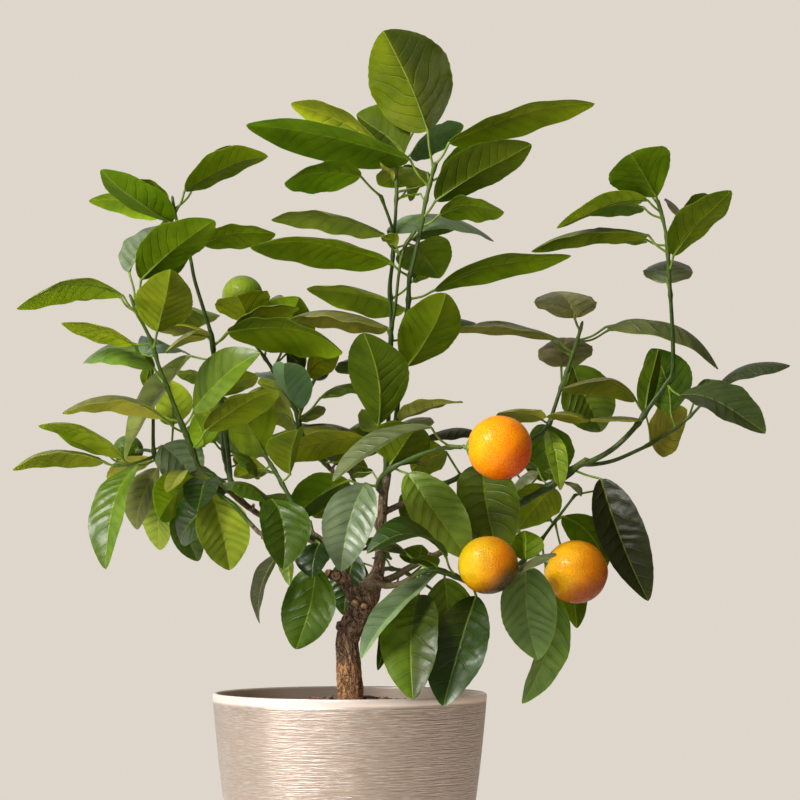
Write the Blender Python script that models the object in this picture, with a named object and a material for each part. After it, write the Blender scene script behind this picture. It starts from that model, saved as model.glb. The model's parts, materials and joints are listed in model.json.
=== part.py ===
"""Potted mandarin tree: a tapered metal pot, soil, a forked trunk, leafy shoots and six fruits.

Metres, +Z up, origin at the centre of the pot's underside, -Y towards the viewer.
Plant points are given in millimetres as (x, h, depth): how they are seen from the front, from
EYE, on the plane through the trunk. h is the height above the pot's rim, and depth is how far
the point then lies behind that plane along the line of sight.
"""

import math
import random

import bmesh
import bpy
import numpy as np
from mathutils import Vector
from mathutils.bvhtree import BVHTree

MM = 0.001
POT_HEIGHT = 170.0
RIM_RADIUS = 91.0
BASE_RADIUS = 66.5
WALL = 3.3
FLOOR = 6.0
POT_SIDES = 32
SOIL_SIDES = 20
BOLE_HOLE = 10.1
GAP = 0.35
EYE = np.array((33.3, -2000.0, 100.0))
BLADE = 0.9
STALK = 0.85
CLEAR = 0.45
FRUIT_SIDES = 12
FRUIT_RINGS = 8
HIDDEN_DEPTH = 52.0

# Woody skeleton: centre lines as (x, h, depth, radius), seen from the front, h above the rim.
WOOD = {
    "bole": [(0.5, -44, 0, 9.6), (0.5, -14, 0, 9.4), (0.4, 1, 0, 8.9), (-1.0, 21, 0, 8.3),
             (-1.6, 34, 0, 7.7), (2.2, 45, 0, 8.9), (8.0, 56, 0, 8.9), (12.5, 67, 1, 8.2),
             (17.5, 77, 3, 5.2), (20.0, 88, 4, 3.9), (20.6, 104, 6, 3.6), (21.5, 120, 8, 3.4),
             (22.6, 133, 8, 3.2), (25.0, 146, 7, 3.0)],
    "left_fork": [(5, 62, 0, 6.0), (-2, 71, -2, 4.6), (-5, 81, -4, 3.8), (-10, 92, -6, 3.2),
                  (-20, 101, -6, 2.9), (-29, 108, -6, 2.4)],
    "left_spur": [(-3, 72, -3, 3.6), (-10, 77, -5, 3.0), (-15, 80, -6, 2.6)],
    "long_left": [(-14, 96, -6, 2.5), (-30, 103, 0, 2.3), (-46, 111, 5, 2.1), (-62, 119, 10, 2.0),
                  (-72, 126, 12, 1.9), (-80, 133, 13, 1.9)],
    "low_left": [(-22, 102, -6, 2.0), (-42, 103, -13, 1.8), (-58, 105, -17, 1.7), (-64, 109.5, -17, 1.6)],
    "back_left": [(20.8, 107, 6, 2.2), (8, 128, 20, 2.0), (-4, 140, 24, 1.8), (-13, 148, 24, 1.7)],
    "right_arm": [(14, 72, 2, 3.4), (27, 75.5, -3, 2.6), (40, 83, -6, 2.3), (52, 89, -6, 2.2),
                  (70, 97.5, 0, 2.1), (90, 111, 7, 2.1), (108, 121.5, 11, 2.1)],
    "upper_right": [(21.6, 119, 8, 2.4), (32, 124, 13, 2.1), (42, 129, 18, 2.0), (52, 133.5, 24, 1.9)],
    "low_right": [(15, 75, -2, 3.0), (23, 71, -12, 2.4), (33, 72, -22, 2.0), (41, 76, -30, 1.9)],
}

# Leafy shoots. stem: (x, h, depth). leaf: where it leaves the stem (x, h), foot of the blade (x, h),
# tip (x, h), how much deeper the tip lies, width, turn of the upper side from the viewer, arch, cup.
SHOOTS = {
    "shoot_top_right": {
        "parent": "trunk",
        "stem": [(25.8, 146, 8.6), (28, 158, 10), (30.4, 178, 10), (32, 200, 8), (33.4, 220, 4), (36.5, 240, 0),
                 (38.8, 258, -2), (39.6, 275, -4), (43, 290, -5), (47, 308, -6), (50, 325, -8),
                 (54, 342, -8), (57, 353, -8)],
        "thick": (1.9, 1.2),
        "leaves": [
            (55.5, 349, 52, 375, 22, 444, 15, 60, 160, 3, 6, 1, 0.55, 1.05),
            (50, 338, 40, 356, -70, 379, -10, 44, 120, 2, -6, 4),
            (57, 352, 66, 367, 164, 393.5, -20, 40, 113, 7, -5),
            (51, 316, 57, 328, 121.5, 366, -25, 38, 138, 3, 5),
            (50, 310, 60, 319, 103, 320.5, 45, 34, 112, 6, -3),
            (53, 340, 52, 347, 20, 338, 45, 34, 110, 5, -3),
            (50, 328, 47, 333, 33, 329, 10, 9, 100, 1, 0),
            (40, 277, 27, 287, -67, 297, -25, 44, 112, 8, -7),
            (39.5, 262, 56, 268, 148, 291, 10, 36, 108, 7, -3),
            (38.5, 252, 36, 256, -29, 268.5, 44, 34, 112, 4, -6),
            (33, 205, 38, 217, 64, 266, -40, 40, 155, -3, 5, 2, 0.58, 1.08),
            (34, 226, 42, 238, 84, 246, 20, 30, 75, 5, -3),
            (30, 176, 33, 181, 75, 192.5, -40, 30, 100, 3, 3),
            (29, 166, 31, 176, 53, 177, 55, 30, 95, 5, -3),
        ],
    },
    "shoot_top_left": {
        "parent": "trunk",
        "stem": [(23.6, 146, 3.6), (24.6, 158, 2), (25.6, 178, 1), (26, 200, 0), (26.5, 218, -3), (27.2, 236, -5),
                 (27.3, 250, -6), (26, 268, -6), (28, 285, -5), (29, 300, -4), (30.5, 320, -2),
                 (31, 340, 0), (31, 352, 2)],
        "thick": (1.6, 1.0),
        "twigs": [[(27.3, 240, -5), (30, 256, -9), (32, 275, -10), (34.5, 291, -9), (38, 300, -7), (43, 307, -9)],
                  [(29.4, 305, -4), (26, 316, -8), (20.5, 331, -10)]],
        "leaves": [
            (31, 350, 22, 362, -40, 393, 42, 34, 120, 6, -4),
            (31, 352, 36, 359, 4, 386, 40, 40, 140, 4, 6),
            (31.5, 352, 40, 359, 76, 378, 30, 30, 118, 5, -4),
            (31, 340, 29, 342, 20, 354, -5, 7, 120, 1, 0),
            (20.5, 331, 7, 344.5, -44, 340, -40, 34, 118, 6, -4),
            (34, 291, 22, 306, -53, 315, 5, 34, 108, 7, -4),
            (29, 302, 25, 307, 96, 301, 34, 36, 65, 14, -4),
            (34, 290, 31, 297, 21, 304, -8, 12, 130, 2, 2),
            (38, 300, 42, 298, 60, 276, 55, 38, 150, 4, 3),
            (27.5, 236, 25, 243, -40, 249, 15, 36, 101, 8, -9),
            (25.3, 168, 19, 178, 9, 239.5, -30, 41, 162, -3, 4, 6, 0.6, 1.25),
            (25.4, 170, 22, 175, 8, 174, 60, 28, 120, 4, 3),
            (24.8, 160, 9, 169.5, -53, 169.5, 42, 30, 104, 8, -5),
            (24.4, 156, 9, 168.5, -51, 156, -14, 36, 122, 5, -3),
        ],
    },
    "shoot_left_high": {
        "parent": "trunk",
        "stem": [(-79.5, 132.5, 13), (-80, 146, 34), (-82, 166, 44), (-85, 188, 38), (-89, 207, 18), (-91, 222, 4),
                 (-93, 238, -5), (-98, 255, -9), (-104, 275, -12), (-107, 290, -14),
                 (-112, 304, -15), (-117, 318, -16), (-119, 330, -16)],
        "thick": (1.8, 1.0),
        "leaves": [
            (-113, 306, -119, 314, -167, 349, -30, 36, 125, -3, 4),
            (-112, 303, -123, 321, -175, 327.5, 42, 24, 118, 4, -4),
            (-117, 320, -111, 335, -55, 358, 20, 34, 118, 5, 3),
            (-108, 292.5, -99, 299, -50, 306, -10, 29, 120, 5, -3),
            (-93.5, 239, -95, 250, -118, 237, 45, 34, 120, 10, 0),
            (-92.5, 234, -98, 241, -126, 239.5, 50, 24, 96, 3, -2),
            (-92, 232, -95, 237, -123, 227, -30, 26, 100, 6, -3),
            (-91.5, 230, -82, 240, -5, 226.5, -28, 42, 118, 13, -7, 3),
            (-91.3, 221, -107, 224, -150, 152, 22, 28, 60, 6, 5),
            (-85.5, 190, -89, 197, -62, 211, -14, 30, 125, 3, 3),
            (-112, 303.5, -122, 316, -156, 341, 50, 30, 125, 3, 3),
            (-118, 322, -104, 340, -66, 356, 55, 30, 120, 4, 3),
            (-91.8, 231, -80, 241, -34, 256, 50, 28, 110, 6, -4),
        ],
    },
    "shoot_left_outer": {
        "parent": "trunk",
        "stem": [(-80, 133, 13), (-88, 141, 14), (-95, 146, 15), (-101, 150, 14), (-103.5, 157, 12), (-109, 171, 6),
                 (-115, 185, 1), (-122, 203, -4), (-128, 218, -8), (-133, 234, -10), (-143, 254, -12),
                 (-147, 264, -12)],
        "thick": (1.9, 1.0),
        "leaves": [
            (-144, 257, -148, 280, -122, 313, 45, 32, 65, 4, 6),
            (-143, 255, -140, 275, -91, 315, -22, 40, 128, 3, 5),
            (-131, 229, -129, 240, -120, 282, -45, 38, 165, -3, 4),
            (-142, 251, -152, 264.5, -223, 255.5, -15, 29, 112, 13, -5),
            (-134, 232, -145, 232, -193, 246, 30, 28, 110, 3, -3),
            (-123, 204, -131, 216, -178, 219.5, 15, 38, 68, 14, -6),
            (-131, 224, -138, 225, -111, 226, 55, 32, 62, 6, 0),
            (-110, 172, -125, 183, -192, 186, -25, 31, 105, 13, -7),
            (-110.5, 177, -104, 188, -60, 226, -38, 36, 42, 5, 5),
            (-105, 162, -96, 174.5, -48, 201, -45, 33, 122, 4, -3),
            (-104, 160, -97, 164, -104, 184.5, 45, 24, 160, 3, 3),
            (-92, 144, -95, 141, -102, 120.5, -45, 24, 15, 3, 4),
            (-86, 139, -82, 139, -57, 127, -24, 28, 68, 5, -4),
            (-143, 253, -154, 264, -205, 262, 50, 26, 108, 8, -4),
            (-113, 180, -128, 186, -176, 190, 55, 28, 105, 6, -4),
            (-143, 255.5, -132, 276, -100, 306, 60, 34, 130, 3, 4),
        ],
    },
    "shoot_left_mid": {
        "parent": "shoot_left_outer",
        "stem": [(-99, 148.5, 14), (-108, 143, 30), (-119, 145, 36), (-127, 152, 38), (-131, 160, 38), (-131.5, 184, 38),
                 (-132, 208, 38), (-134, 222, 38)],
        "thick": (1.6, 0.9),
        "twigs": [[(-130, 157, 38), (-145, 152, 34), (-157, 150.5, 32)]],
        "leaves": [
            (-147, 151.5, -152, 156, -208, 177.5, -25, 26, 118, 9, -4),
            (-156, 150.5, -164, 153.5, -225, 148, -15, 27, 108, 10, -6),
            (-130.5, 158, -133, 156, -162, 142, -20, 20, 128, 2, 0),
            (-129, 155, -142, 151, -162.5, 81.5, -45, 33, 40, 10, 5),
            (-124, 149, -128, 149, -142, 108, 6, 25, 30, 6, 5),
            (-130.8, 161, -125.5, 164, -103, 138, -10, 36, 25, 6, 3),
            (-117, 144.5, -124, 139, -127, 94.5, 30, 26, 30, 4, 3),
            (-117.5, 145, -118, 178, -121, 208, 20, 28, 165, 2, 3),
            (-134, 221, -134, 219, -136, 202, -8, 10, 150, 1, 1),
            (-106, 144, -109, 147, -122, 133, -30, 13, 30, 2, 2),
            (-104, 145, -104, 143, -127, 115, -30, 32, 140, 4, 5),
            (-110, 143.5, -113, 131, -101, 87, 20, 22, 10, 4, 3, -3),
            (-150, 151, -162, 159, -196, 173, 50, 24, 118, 4, -3),
            (-156, 150.5, -168, 156, -212, 155, 50, 24, 105, 5, -4),
        ],
    },
    "shoot_left_centre": {
        "parent": "trunk",
        "stem": [(-13, 148, 24), (-20, 156, 23), (-26.5, 164, 22), (-33, 174, 20), (-36, 187, 18), (-43, 200, 16),
                 (-51, 214, 14), (-60, 227, 14), (-66, 235, 14), (-70, 244, 15), (-71.5, 250, 18)],
        "thick": (1.6, 0.9),
        "leaves": [
            (-66, 236, -68, 247, -76, 264, -50, 38, 165, 3, 5),
            (-51.5, 215, -43, 234, -34, 263.5, 40, 42, 155, 3, 4),
            (-57, 223, -57, 240, -50, 264, 55, 26, 40, 3, 2),
            (-33.5, 181, -33, 188, -44, 219, -35, 27, 150, -2, 12, -4),
            (-34, 182, -20, 196, 25, 206, 25, 30, 75, 4, -4),
            (-51, 214, -42, 226, -31.5, 212, 25, 22, 40, 3, 0),
            (-35, 184, -28.5, 211, -7, 228, 22, 26, 125, 3, -2),
            (-37, 189, -41, 194, -62, 206, 35, 25, 130, 4, 3),
            (-43, 200, -45, 207, -62, 213, 50, 28, 70, 3, -3),
            (-33.5, 177, -37, 178, -60, 190, 25, 34, 120, 4, 0),
            (-33.5, 179, -31, 183, -18, 184.5, 55, 18, 112, 2, 0),
            (-18, 153, -10, 153, 12, 149, 30, 24, 140, 2, 2),
            (-24, 161, -20, 160, 2, 152, 25, 24, 70, 3, -3),
        ],
    },
    "shoot_left_inner": {
        "parent": "trunk",
        "stem": [(-29, 108, -6), (-35, 120, -5), (-42, 133, -4), (-50, 147, 0), (-57, 158, 2)],
        "thick": (1.7, 1.1),
        "leaves": [
            (-56.5, 157, -58, 161, -82, 196, 25, 44, 152, 3, 6),
            (-46, 140, -40, 145, -35, 174, -50, 27, 140, 3, 10),
            (-49.5, 146, -54, 146.5, -77, 143, 10, 22, 125, 3, 3),
            (-53, 151, -61, 145, -78, 158, -14, 24, 70, 3, -2),
            (-45, 138, -40, 131, -52, 112, 30, 30, 150, 3, 3),
        ],
    },
    "shoot_left_low": {
        "parent": "trunk",
        "stem": [(-64, 109.5, -17), (-70, 116, -16), (-77, 124, -14), (-85, 130, -11), (-92, 134.5, -8)],
        "thick": (1.5, 1.1),
        "leaves": [
            (-91.5, 134, -92.5, 132, -80, 81, -25, 37, 20, 4, 4),
            (-85, 130, -89, 128, -113, 100, 40, 30, 35, 5, 4),
        ],
    },
    "shoot_front_left": {
        "parent": "trunk",
        "stem": [(-20, 101, -6), (-27, 103, -20), (-38, 111, -36), (-46, 120, -44), (-51, 126, -48)],
        "thick": (1.5, 1.1),
        "leaves": [
            (-50.5, 125, -52, 128, -44.5, 81.5, -22, 34, 18, 6, 6, 3),
            (-38, 111, -49, 101, -40, 71, 12, 14, -40, -4, 2),
            (-36, 110, -47, 92, -60, 45.5, 25, 20, 60, 6, 3),
            (-25, 102, -20, 99, -25, 76, -14, 26, 30, 3, 3),
            (-22.5, 101.5, -23, 84, -36, 28.5, 2, 37, 20, 5, 3, 5),
        ],
    },
    "shoot_middle": {
        "parent": "trunk",
        "stem": [(22.4, 131, 8), (19, 136, -7), (21, 143, -16), (28, 149, -22), (40, 155, -28), (50, 159, -34),
                 (60, 162, -40), (68, 163.2, -46), (74, 163, -50)],
        "thick": (1.7, 1.4),
        "leaves": [
            (67, 163, 54, 176.5, -11.5, 140, -40, 28, 62, 7, 4),
            (28, 149, 27, 152, 46, 177, -18, 40, 150, 2, 5),
            (29, 149.5, 32, 151, 53, 150, 30, 18, 80, 4, -2),
            (29, 149, 38, 145.5, 79, 88, -20, 36, 20, 5, 5, -2),
            (18.5, 136.5, 10, 139, -6, 80, -28, 35, 12, 6, 4, -2),
            (18.6, 137.5, -1, 141, -42, 113, 18, 32, 135, 4, 4),
            (19.5, 139, 15, 146.5, 0, 142, 18, 12, 60, 2, 0),
        ],
    },
    "shoot_right_inner": {
        "parent": "trunk",
        "stem": [(52, 133.5, 24), (64, 139, 28), (76, 144.5, 33), (90, 151.5, 38), (104, 159, 41), (120, 167.5, 42),
                 (131, 175, 42), (136, 188, 42), (141, 203, 42), (147, 220, 42), (152, 235, 42), (155, 246, 42)],
        "thick": (1.9, 1.0),
        "leaves": [
            (74, 144, 64, 160, 41, 147, -20, 34, 140, 3, 4),
            (98, 156, 88, 172, 48, 168, -25, 26, 78, 5, -4),
            (84, 148.5, 88, 150.5, 100, 88, -58, 42, 12, 3, 7, -3),
            (62, 138, 56, 134, 36, 112, -10, 30, 140, 3, 2),
            (131, 174, 131, 178, 133, 141, -3, 34, 150, 2, 4),
            (131.5, 177, 132, 174, 140, 134, -14, 15, 25, 3, 3),
            (132.5, 179, 128, 181.5, 99, 186, -45, 28, 108, 3, -3),
            (133, 181, 136, 182, 155, 182.5, -55, 26, 97, 3, -3),
            (148.5, 226, 139, 235.5, 62, 242, -10, 30, 100, 6, -4),
            (153.5, 241, 150, 249.5, 137, 267, 50, 44, 25, 6, -4),
            (141.5, 204, 141, 217, 146, 234, 50, 38, 20, 8, -6),
            (152, 234, 171, 243.5, 246, 215, 14, 32, 72, 18, -8),
            (145, 213, 149, 217, 168, 173.5, 15, 40, 20, 4, 4, -3),
            (152, 233, 172, 241, 222, 240, 55, 24, 78, 8, -4),
            (148, 224, 132, 238, 84, 245, 50, 22, 98, 4, -3),
        ],
    },
    "shoot_right_arm": {
        "parent": "trunk",
        "stem": [(108, 121.5, 11), (120, 129, 13), (135, 138, 15), (150, 149, 17), (158, 154.5, 18)],
        "thick": (2.3, 2.2),
        "leaves": [
            (149, 147.5, 167, 142, 198.5, 60.5, -28, 33, 15, 5, 8, -4),
            (140, 141, 136, 136, 112, 108, 14, 36, 150, 3, 3),
            (117, 128.5, 108, 135, 126, 146, -15, 16, 60, 3, -2),
            (132, 137.5, 125, 149, 100, 152, 12, 20, 80, 3, -3),
            (137, 140, 137, 145, 131, 148, 10, 10, 60, 1, 0),
            (143, 144, 142, 140, 154, 130, -10, 10, 60, 3, 0),
        ],
    },
    "shoot_right_high": {
        "parent": "shoot_right_arm",
        "stem": [(152, 150.5, 17.5), (164, 155, 18), (177, 163, 18), (190, 176, 19), (200, 190, 20), (208, 201, 20),
                 (215, 212, 20), (215.5, 230, 18), (215, 246, 16), (214, 265, 14), (213, 285, 12),
                 (212, 300, 11), (211, 308, 10), (208, 321, 9), (205.8, 328, 8)],
        "thick": (1.9, 1.0),
        "leaves": [
            (206, 327, 205, 330.5, 188, 360, -40, 45, 165, 3, 4, 0, 0.58, 1.2),
            (208, 320, 199, 328.5, 138, 309.5, -20, 25, 112, 5, 3),
            (211.8, 293, 199.5, 305, 121, 294, 10, 32, 104, 9, -6),
            (213.2, 281, 216, 291, 255, 335, -30, 36, 132, 3, 3),
            (211.5, 304, 220, 317, 214, 322, 55, 24, 60, 4, -3),
            (213.8, 266, 212, 273, 214, 288, 45, 34, 20, 5, -5),
            (196.5, 185.5, 191, 194, 141, 202, -18, 26, 110, 11, -6),
            (192.5, 179, 194, 181, 161, 182, -30, 22, 95, 2, -3),
            (211, 205.5, 220, 197.5, 277, 172, -35, 38, 45, 8, 5),
            (212.5, 292, 224, 306, 244, 328, 55, 30, 128, 3, 3),
            (209, 316, 196, 324, 152, 319, 50, 28, 108, 4, -2),
            (212, 298, 198, 302, 150, 301, 55, 28, 104, 6, -3),
            (207, 325, 200, 335, 186, 352, 45, 34, 150, 3, 3),
        ],
    },
    "shoot_right_side": {
        "parent": "shoot_right_arm",
        "stem": [(155, 151.5, 18), (163, 151.5, 22), (176, 154, 26), (190, 160, 29), (200, 165, 31), (215, 174, 32),
                 (225, 182, 32), (232, 189, 30), (238, 196, 26)],
        "thick": (1.5, 0.9),
        "leaves": [
            (217, 176, 214, 186, 201, 229, 22, 35, 160, 3, 5, 3, 0.6, 1.08),
            (201, 164.5, 197, 186, 206, 228.5, 2, 15, 160, 3, 3),
            (200.5, 164.5, 201, 166.5, 225, 188, 24, 36, 150, 2, 3, 4),
            (237, 195, 245, 204, 294, 217.5, -25, 30, 75, 8, -6),
            (226, 183, 230, 195, 262, 196, 25, 30, 60, 5, 3),
        ],
    },
    "shoot_low_right": {
        "parent": "trunk",
        "stem": [(41, 76, -30), (49, 80, -38), (58, 81, -43), (70, 77, -46), (80, 73, -45), (94, 74, -42),
                 (108, 81, -36), (120, 92, -25), (128, 102, -11), (137, 114, 3), (150, 131, 12)],
        "thick": (1.8, 0.9),
        "leaves": [
            (150, 131, 164, 134, 186, 92, 26, 26, 30, 5, 3),
            (137, 114, 142, 117, 171, 83, 6, 26, 155, 3, -2, -5),
            (115, 86.5, 117, 88, 116, 107.5, 30, 24, 160, 2, 2),
            (111, 83.5, 115, 84, 134, 89, -25, 24, 80, 2, -2),
            (112, 84, 117, 84, 125, 21.5, -34, 38, 10, 4, 5, -4),
            (128, 101, 136, 66, 114.5, -7.5, -5, 28, -35, 9, 6),
            (137, 113, 145, 86, 151, 42.5, 10, 20, 150, 2, 0),
            (71, 76.8, 64, 90, 11, 92, -35, 34, 66, 15, 5),
            (56, 81, 38, 92, 7, 94, 10, 18, 75, 7, -3),
            (58, 81, 58, 84, 41, 89, -20, 18, 120, 2, 0),
            (57, 81, 57, 79, 7.5, 22, -28, 23, 55, 5, 5),
            (48, 79.5, 45, 64.5, 42, -5, -53, 38, 10, 6, 6, -2, 0.52, 0.95),
            (47, 79, 38, 70, 18.5, 14.5, -4, 15, 140, 4, 0),
            (81, 73, 84, 64, 62, -9.5, -50, 40, 15, 4, 8, 0, 0.62, 1.12),
            (63, 79.5, 63, 76, 65, 32, 10, 34, 20, 3, 3),
        ],
    },
    "shoot_back_left": {
        "parent": "trunk",
        "stem": [(-62, 119.5, 12), (-72, 128, 40), (-80, 142, 64), (-84, 158, 84), (-86, 176, 100),
                 (-85, 196, 112), (-82, 210, 118)],
        "thick": (1.7, 0.9),
        "leaves": [
            (-80, 142, -88, 142, -114, 150, 24, 30, 112, 4, -3),
            (-84, 160, -90, 166, -108, 177, -14, 30, 125, 3, 3),
            (-84, 158, -76, 158, -50, 161, 20, 30, 112, 4, -2),
            (-82, 150, -76, 151, -62, 146, -26, 24, 112, 3, -2),
            (-78, 138, -82, 133, -98, 128, 20, 26, 60, 3, 0),
            (-85, 190, -74, 194, -46, 199, 26, 34, 102, 5, -4),
            (-84, 203, -95, 207, -117, 213, 10, 26, 105, 3, -3),
            (-82.5, 208, -84, 214, -68, 222, 36, 30, 60, 4, 3),
            (-86, 174, -92, 180, -100, 198, 34, 30, 150, 3, 3),
            (-83, 154, -80, 160, -72, 180, 40, 34, 150, 3, 3),
        ],
    },
    "shoot_back_centre": {
        "parent": "trunk",
        "stem": [(20.7, 105, 10.4), (14, 118, 36), (6, 134, 62), (-2, 150, 86), (-8, 162, 104), (-10, 172, 116)],
        "thick": (1.7, 0.9),
        "leaves": [
            (10, 126, 2, 124, -24, 116, 12, 34, 115, 4, -3),
            (6, 134, -5, 137, -32, 136, 30, 32, 105, 4, -3),
            (-3, 152, -14, 157, -38, 164, 14, 32, 112, 5, -3),
            (-2, 150, 6, 157, 20, 173, -16, 32, 150, 3, 3),
            (-9, 168, -4, 172, 12, 177, 22, 28, 100, 3, -3),
            (-9.5, 170, -18, 173, -40, 172, 38, 28, 104, 5, -3),
            (-6, 158, 4, 160, 30, 163, 30, 34, 80, 5, -3),
            (13, 120, 4, 116, -14, 100, 40, 30, 40, 4, 3),
            (14, 118, 3, 92, -4, 51, -10, 25, 20, 3, 2),
        ],
    },
    "shoot_back_right": {
        "parent": "trunk",
        "stem": [(90, 112, 9.6), (96, 117, 36), (103, 121, 60), (110, 124, 84), (115, 130, 104), (117, 140, 118)],
        "thick": (1.7, 0.9),
        "leaves": [
            (99, 119, 90, 114, 80, 98, 16, 36, 20, 4, 4),
            (107, 122.5, 118, 119, 132, 117, 20, 30, 70, 4, -3),
            (113, 127, 104, 136, 92, 148, 12, 34, 150, 3, 3),
            (116, 134, 124, 142, 132, 158, 6, 28, 155, 3, 3),
            (117, 139, 110, 147, 98, 160, 24, 34, 150, 3, 4),
            (104, 121.5, 104, 112, 103, 94, 30, 34, 20, 4, 4),
            (116.5, 137, 112, 132, 104, 112, 44, 34, 30, 4, 4),
        ],
    },
    "shoot_back_top": {
        "parent": "shoot_top_left",
        "stem": [(26, 203, -0.6), (26.5, 216, 26), (27.3, 236, 48), (27.6, 256, 66), (27, 272, 80),
                 (28.5, 288, 92), (29.5, 304, 102), (30.5, 322, 110), (31.5, 340, 114)],
        "thick": (1.6, 0.9),
        "leaves": [
            (26.6, 217, 16, 220, -4, 212, 22, 34, 108, 4, -3),
            (27.2, 234, 40, 238, 57, 246, 24, 32, 108, 3, -3),
            (27.5, 262, 42, 275, 58, 284, 16, 30, 120, 3, 3),
            (28.2, 285, 14, 292, -34, 297, 24, 30, 104, 6, -4),
            (29, 296, 42, 303, 72, 310, 24, 28, 103, 5, -3),
            (31, 334, 60, 344, 98, 355, 18, 34, 130, 3, 4),
            (31.5, 340, 22, 362, -24, 372, 22, 34, 115, 4, -3),
            (31.5, 340, 44, 378, 40, 414, 30, 38, 150, 3, 4),
            (30.8, 328, 38, 336, 50, 346, 40, 26, 140, 3, 3),
            (26.8, 222, 20, 214, 10, 196, 50, 30, 30, 4, 3),
        ],
    },
    "shoot_back_low": {
        "parent": "trunk",
        "stem": [(18.3, 79, 9.2), (24, 82, 32), (34, 80.5, 56), (46, 74, 78), (58, 66, 94)],
        "thick": (1.7, 0.9),
        "leaves": [
            (21, 80.5, 8, 86, 6, 71, 14, 14, 25, 2, 0),
            (34, 80.5, 31, 70, 36, 34, 24, 34, 20, 4, 4),
            (46, 74, 46, 63, 46, 22, 22, 34, 20, 4, 4),
            (57, 67, 66, 60, 74, 16, 16, 36, 20, 4, 4),
            (40, 77, 48, 84, 48, 98, 18, 28, 150, 3, 3),
            (58, 66, 64, 50, 68, 8, 48, 36, 20, 4, 4),
            (28, 81.5, 20, 92, 22, 103, 22, 24, 150, 2, 3),
        ],
    },
}

# Fruits: centre (x, h, depth), radius, flattening, where the stalk comes from (x, h, depth).
FRUITS = {
    "mandarin_upper": ((99.8, 162.5, -50), 21.4, 0.99, "shoot_middle", (74, 163, -50)),
    "mandarin_centre": ((92.0, 84.5, -66), 19.6, 0.96, "shoot_low_right", (94, 74, -42)),
    "mandarin_right": ((150.4, 80.0, -22), 21.2, 0.99, "shoot_low_right", (120, 92, -25)),
    "green_high": ((-72, 264.5, 24), 13.9, 0.98, "shoot_left_centre", (-71.5, 250, 18)),
    "green_mid": ((-21, 214.5, 48), 7.6, 0.98, "shoot_left_centre", (-34, 184, 18)),
    "green_left": ((-148, 161, 58), 10.6, 0.98, "shoot_left_mid", (-131, 160, 38)),
}


def seen(x, h, depth):
    """The point, in millimetres, that lies on the sight line through (x, h) at this depth."""
    aim = np.array((x, 0.0, h))
    point = EYE + (aim - EYE) * (depth - EYE[1]) / -EYE[1]
    point[2] += POT_HEIGHT
    return point


def unit(vector):
    return vector / max(np.linalg.norm(vector), 1e-9)


def frame_at(direction):
    side = np.cross(direction, (0.0, 1.0, 0.0))
    if np.linalg.norm(side) < 0.2:
        side = np.cross(direction, (1.0, 0.0, 0.0))
    side = unit(side)
    return side, unit(np.cross(side, direction))


def tube_rings(points, radii, sides):
    rings = []
    for index, point in enumerate(points):
        before = points[max(index - 1, 0)]
        after = points[min(index + 1, len(points) - 1)]
        side, up = frame_at(unit(after - before))
        ring = []
        for step in range(sides):
            angle = math.tau * (step + 0.25) / sides
            offset = math.cos(angle) * side + math.sin(angle) * up
            ring.append(point + offset * radii[index])
        rings.append(ring)
    return rings


def blade_width(t, power=0.62, lean=0.92):
    """Half width of a blade at t, from its foot at 0 to its tip at 1, as a share of the widest."""
    return math.sin(math.pi * min(max(t, 0.0), 1.0) ** lean) ** power


def blade_frame(foot, tip, turn):
    along = unit(tip - foot)
    facing = np.array((0.0, -1.0, 0.0))
    facing = unit(facing - along * np.dot(facing, along))
    upward = np.cross(along, facing)
    if upward[2] < 0:
        upward = -upward
    angle = math.radians(turn)
    normal = math.cos(angle) * facing + math.sin(angle) * upward
    return along, normal, np.cross(normal, along)


def leaf_rings(root, spec, deeper, stations=(0.2, 0.5, 0.8)):
    """Rings of a leaf from its stalk's root to its tip, and the index of the blade's first ring."""
    ax, ah, bx, bh, tx, th, drop, width, turn, arch, cup = spec[:11]
    bow = spec[11] if len(spec) > 11 else 0.0
    power = spec[12] if len(spec) > 12 else 0.62
    lean = spec[13] if len(spec) > 13 else 0.92
    start_depth = root[2]
    stalk_seen = math.hypot(bx - ax, bh - ah)
    blade_seen = math.hypot(tx - bx, th - bh)
    total = drop + deeper
    share = stalk_seen / (stalk_seen + max(blade_seen, abs(total)) + 1e-6)
    foot = seen(bx, bh, start_depth + total * share)
    tip = seen(tx, th, start_depth + total)
    start = seen(root[0], root[1], start_depth)
    along, normal, side = blade_frame(foot, tip, turn)
    length = np.linalg.norm(tip - foot)
    stalk = unit(foot - start)
    rise = unit(normal - stalk * np.dot(normal, stalk))
    across = np.cross(rise, stalk)
    rings = []
    middle = (start + foot) / 2 - rise * 0.08 * np.linalg.norm(foot - start)
    stalk_points = [start, foot]
    if np.linalg.norm(foot - start) > 24:
        stalk_points = [start, middle, foot]
    for point in stalk_points:
        rings.append([point + rise * STALK, point + (across - rise) * STALK * 0.8,
                      point - (across + rise) * STALK * 0.8])
    first = len(rings) - 1
    half = BLADE / 2
    for t in stations:
        centre = foot + along * length * t + (normal * arch + side * bow) * 4 * t * (1 - t)
        slope = arch * 4 * (1 - 2 * t) / length
        local = unit(normal - slope * along)
        reach = width / 2 * blade_width(t, power, lean)
        edge = side * reach + normal * cup * blade_width(t, power, lean)
        other = -side * reach + normal * cup * blade_width(t, power, lean)
        rings.append([centre + edge + local * half, centre + local * half,
                      centre + other + local * half, centre + other - local * half,
                      centre - local * half, centre + edge - local * half])
    rings.append([tip + normal * half, tip - normal * half])
    return rings, first


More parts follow.
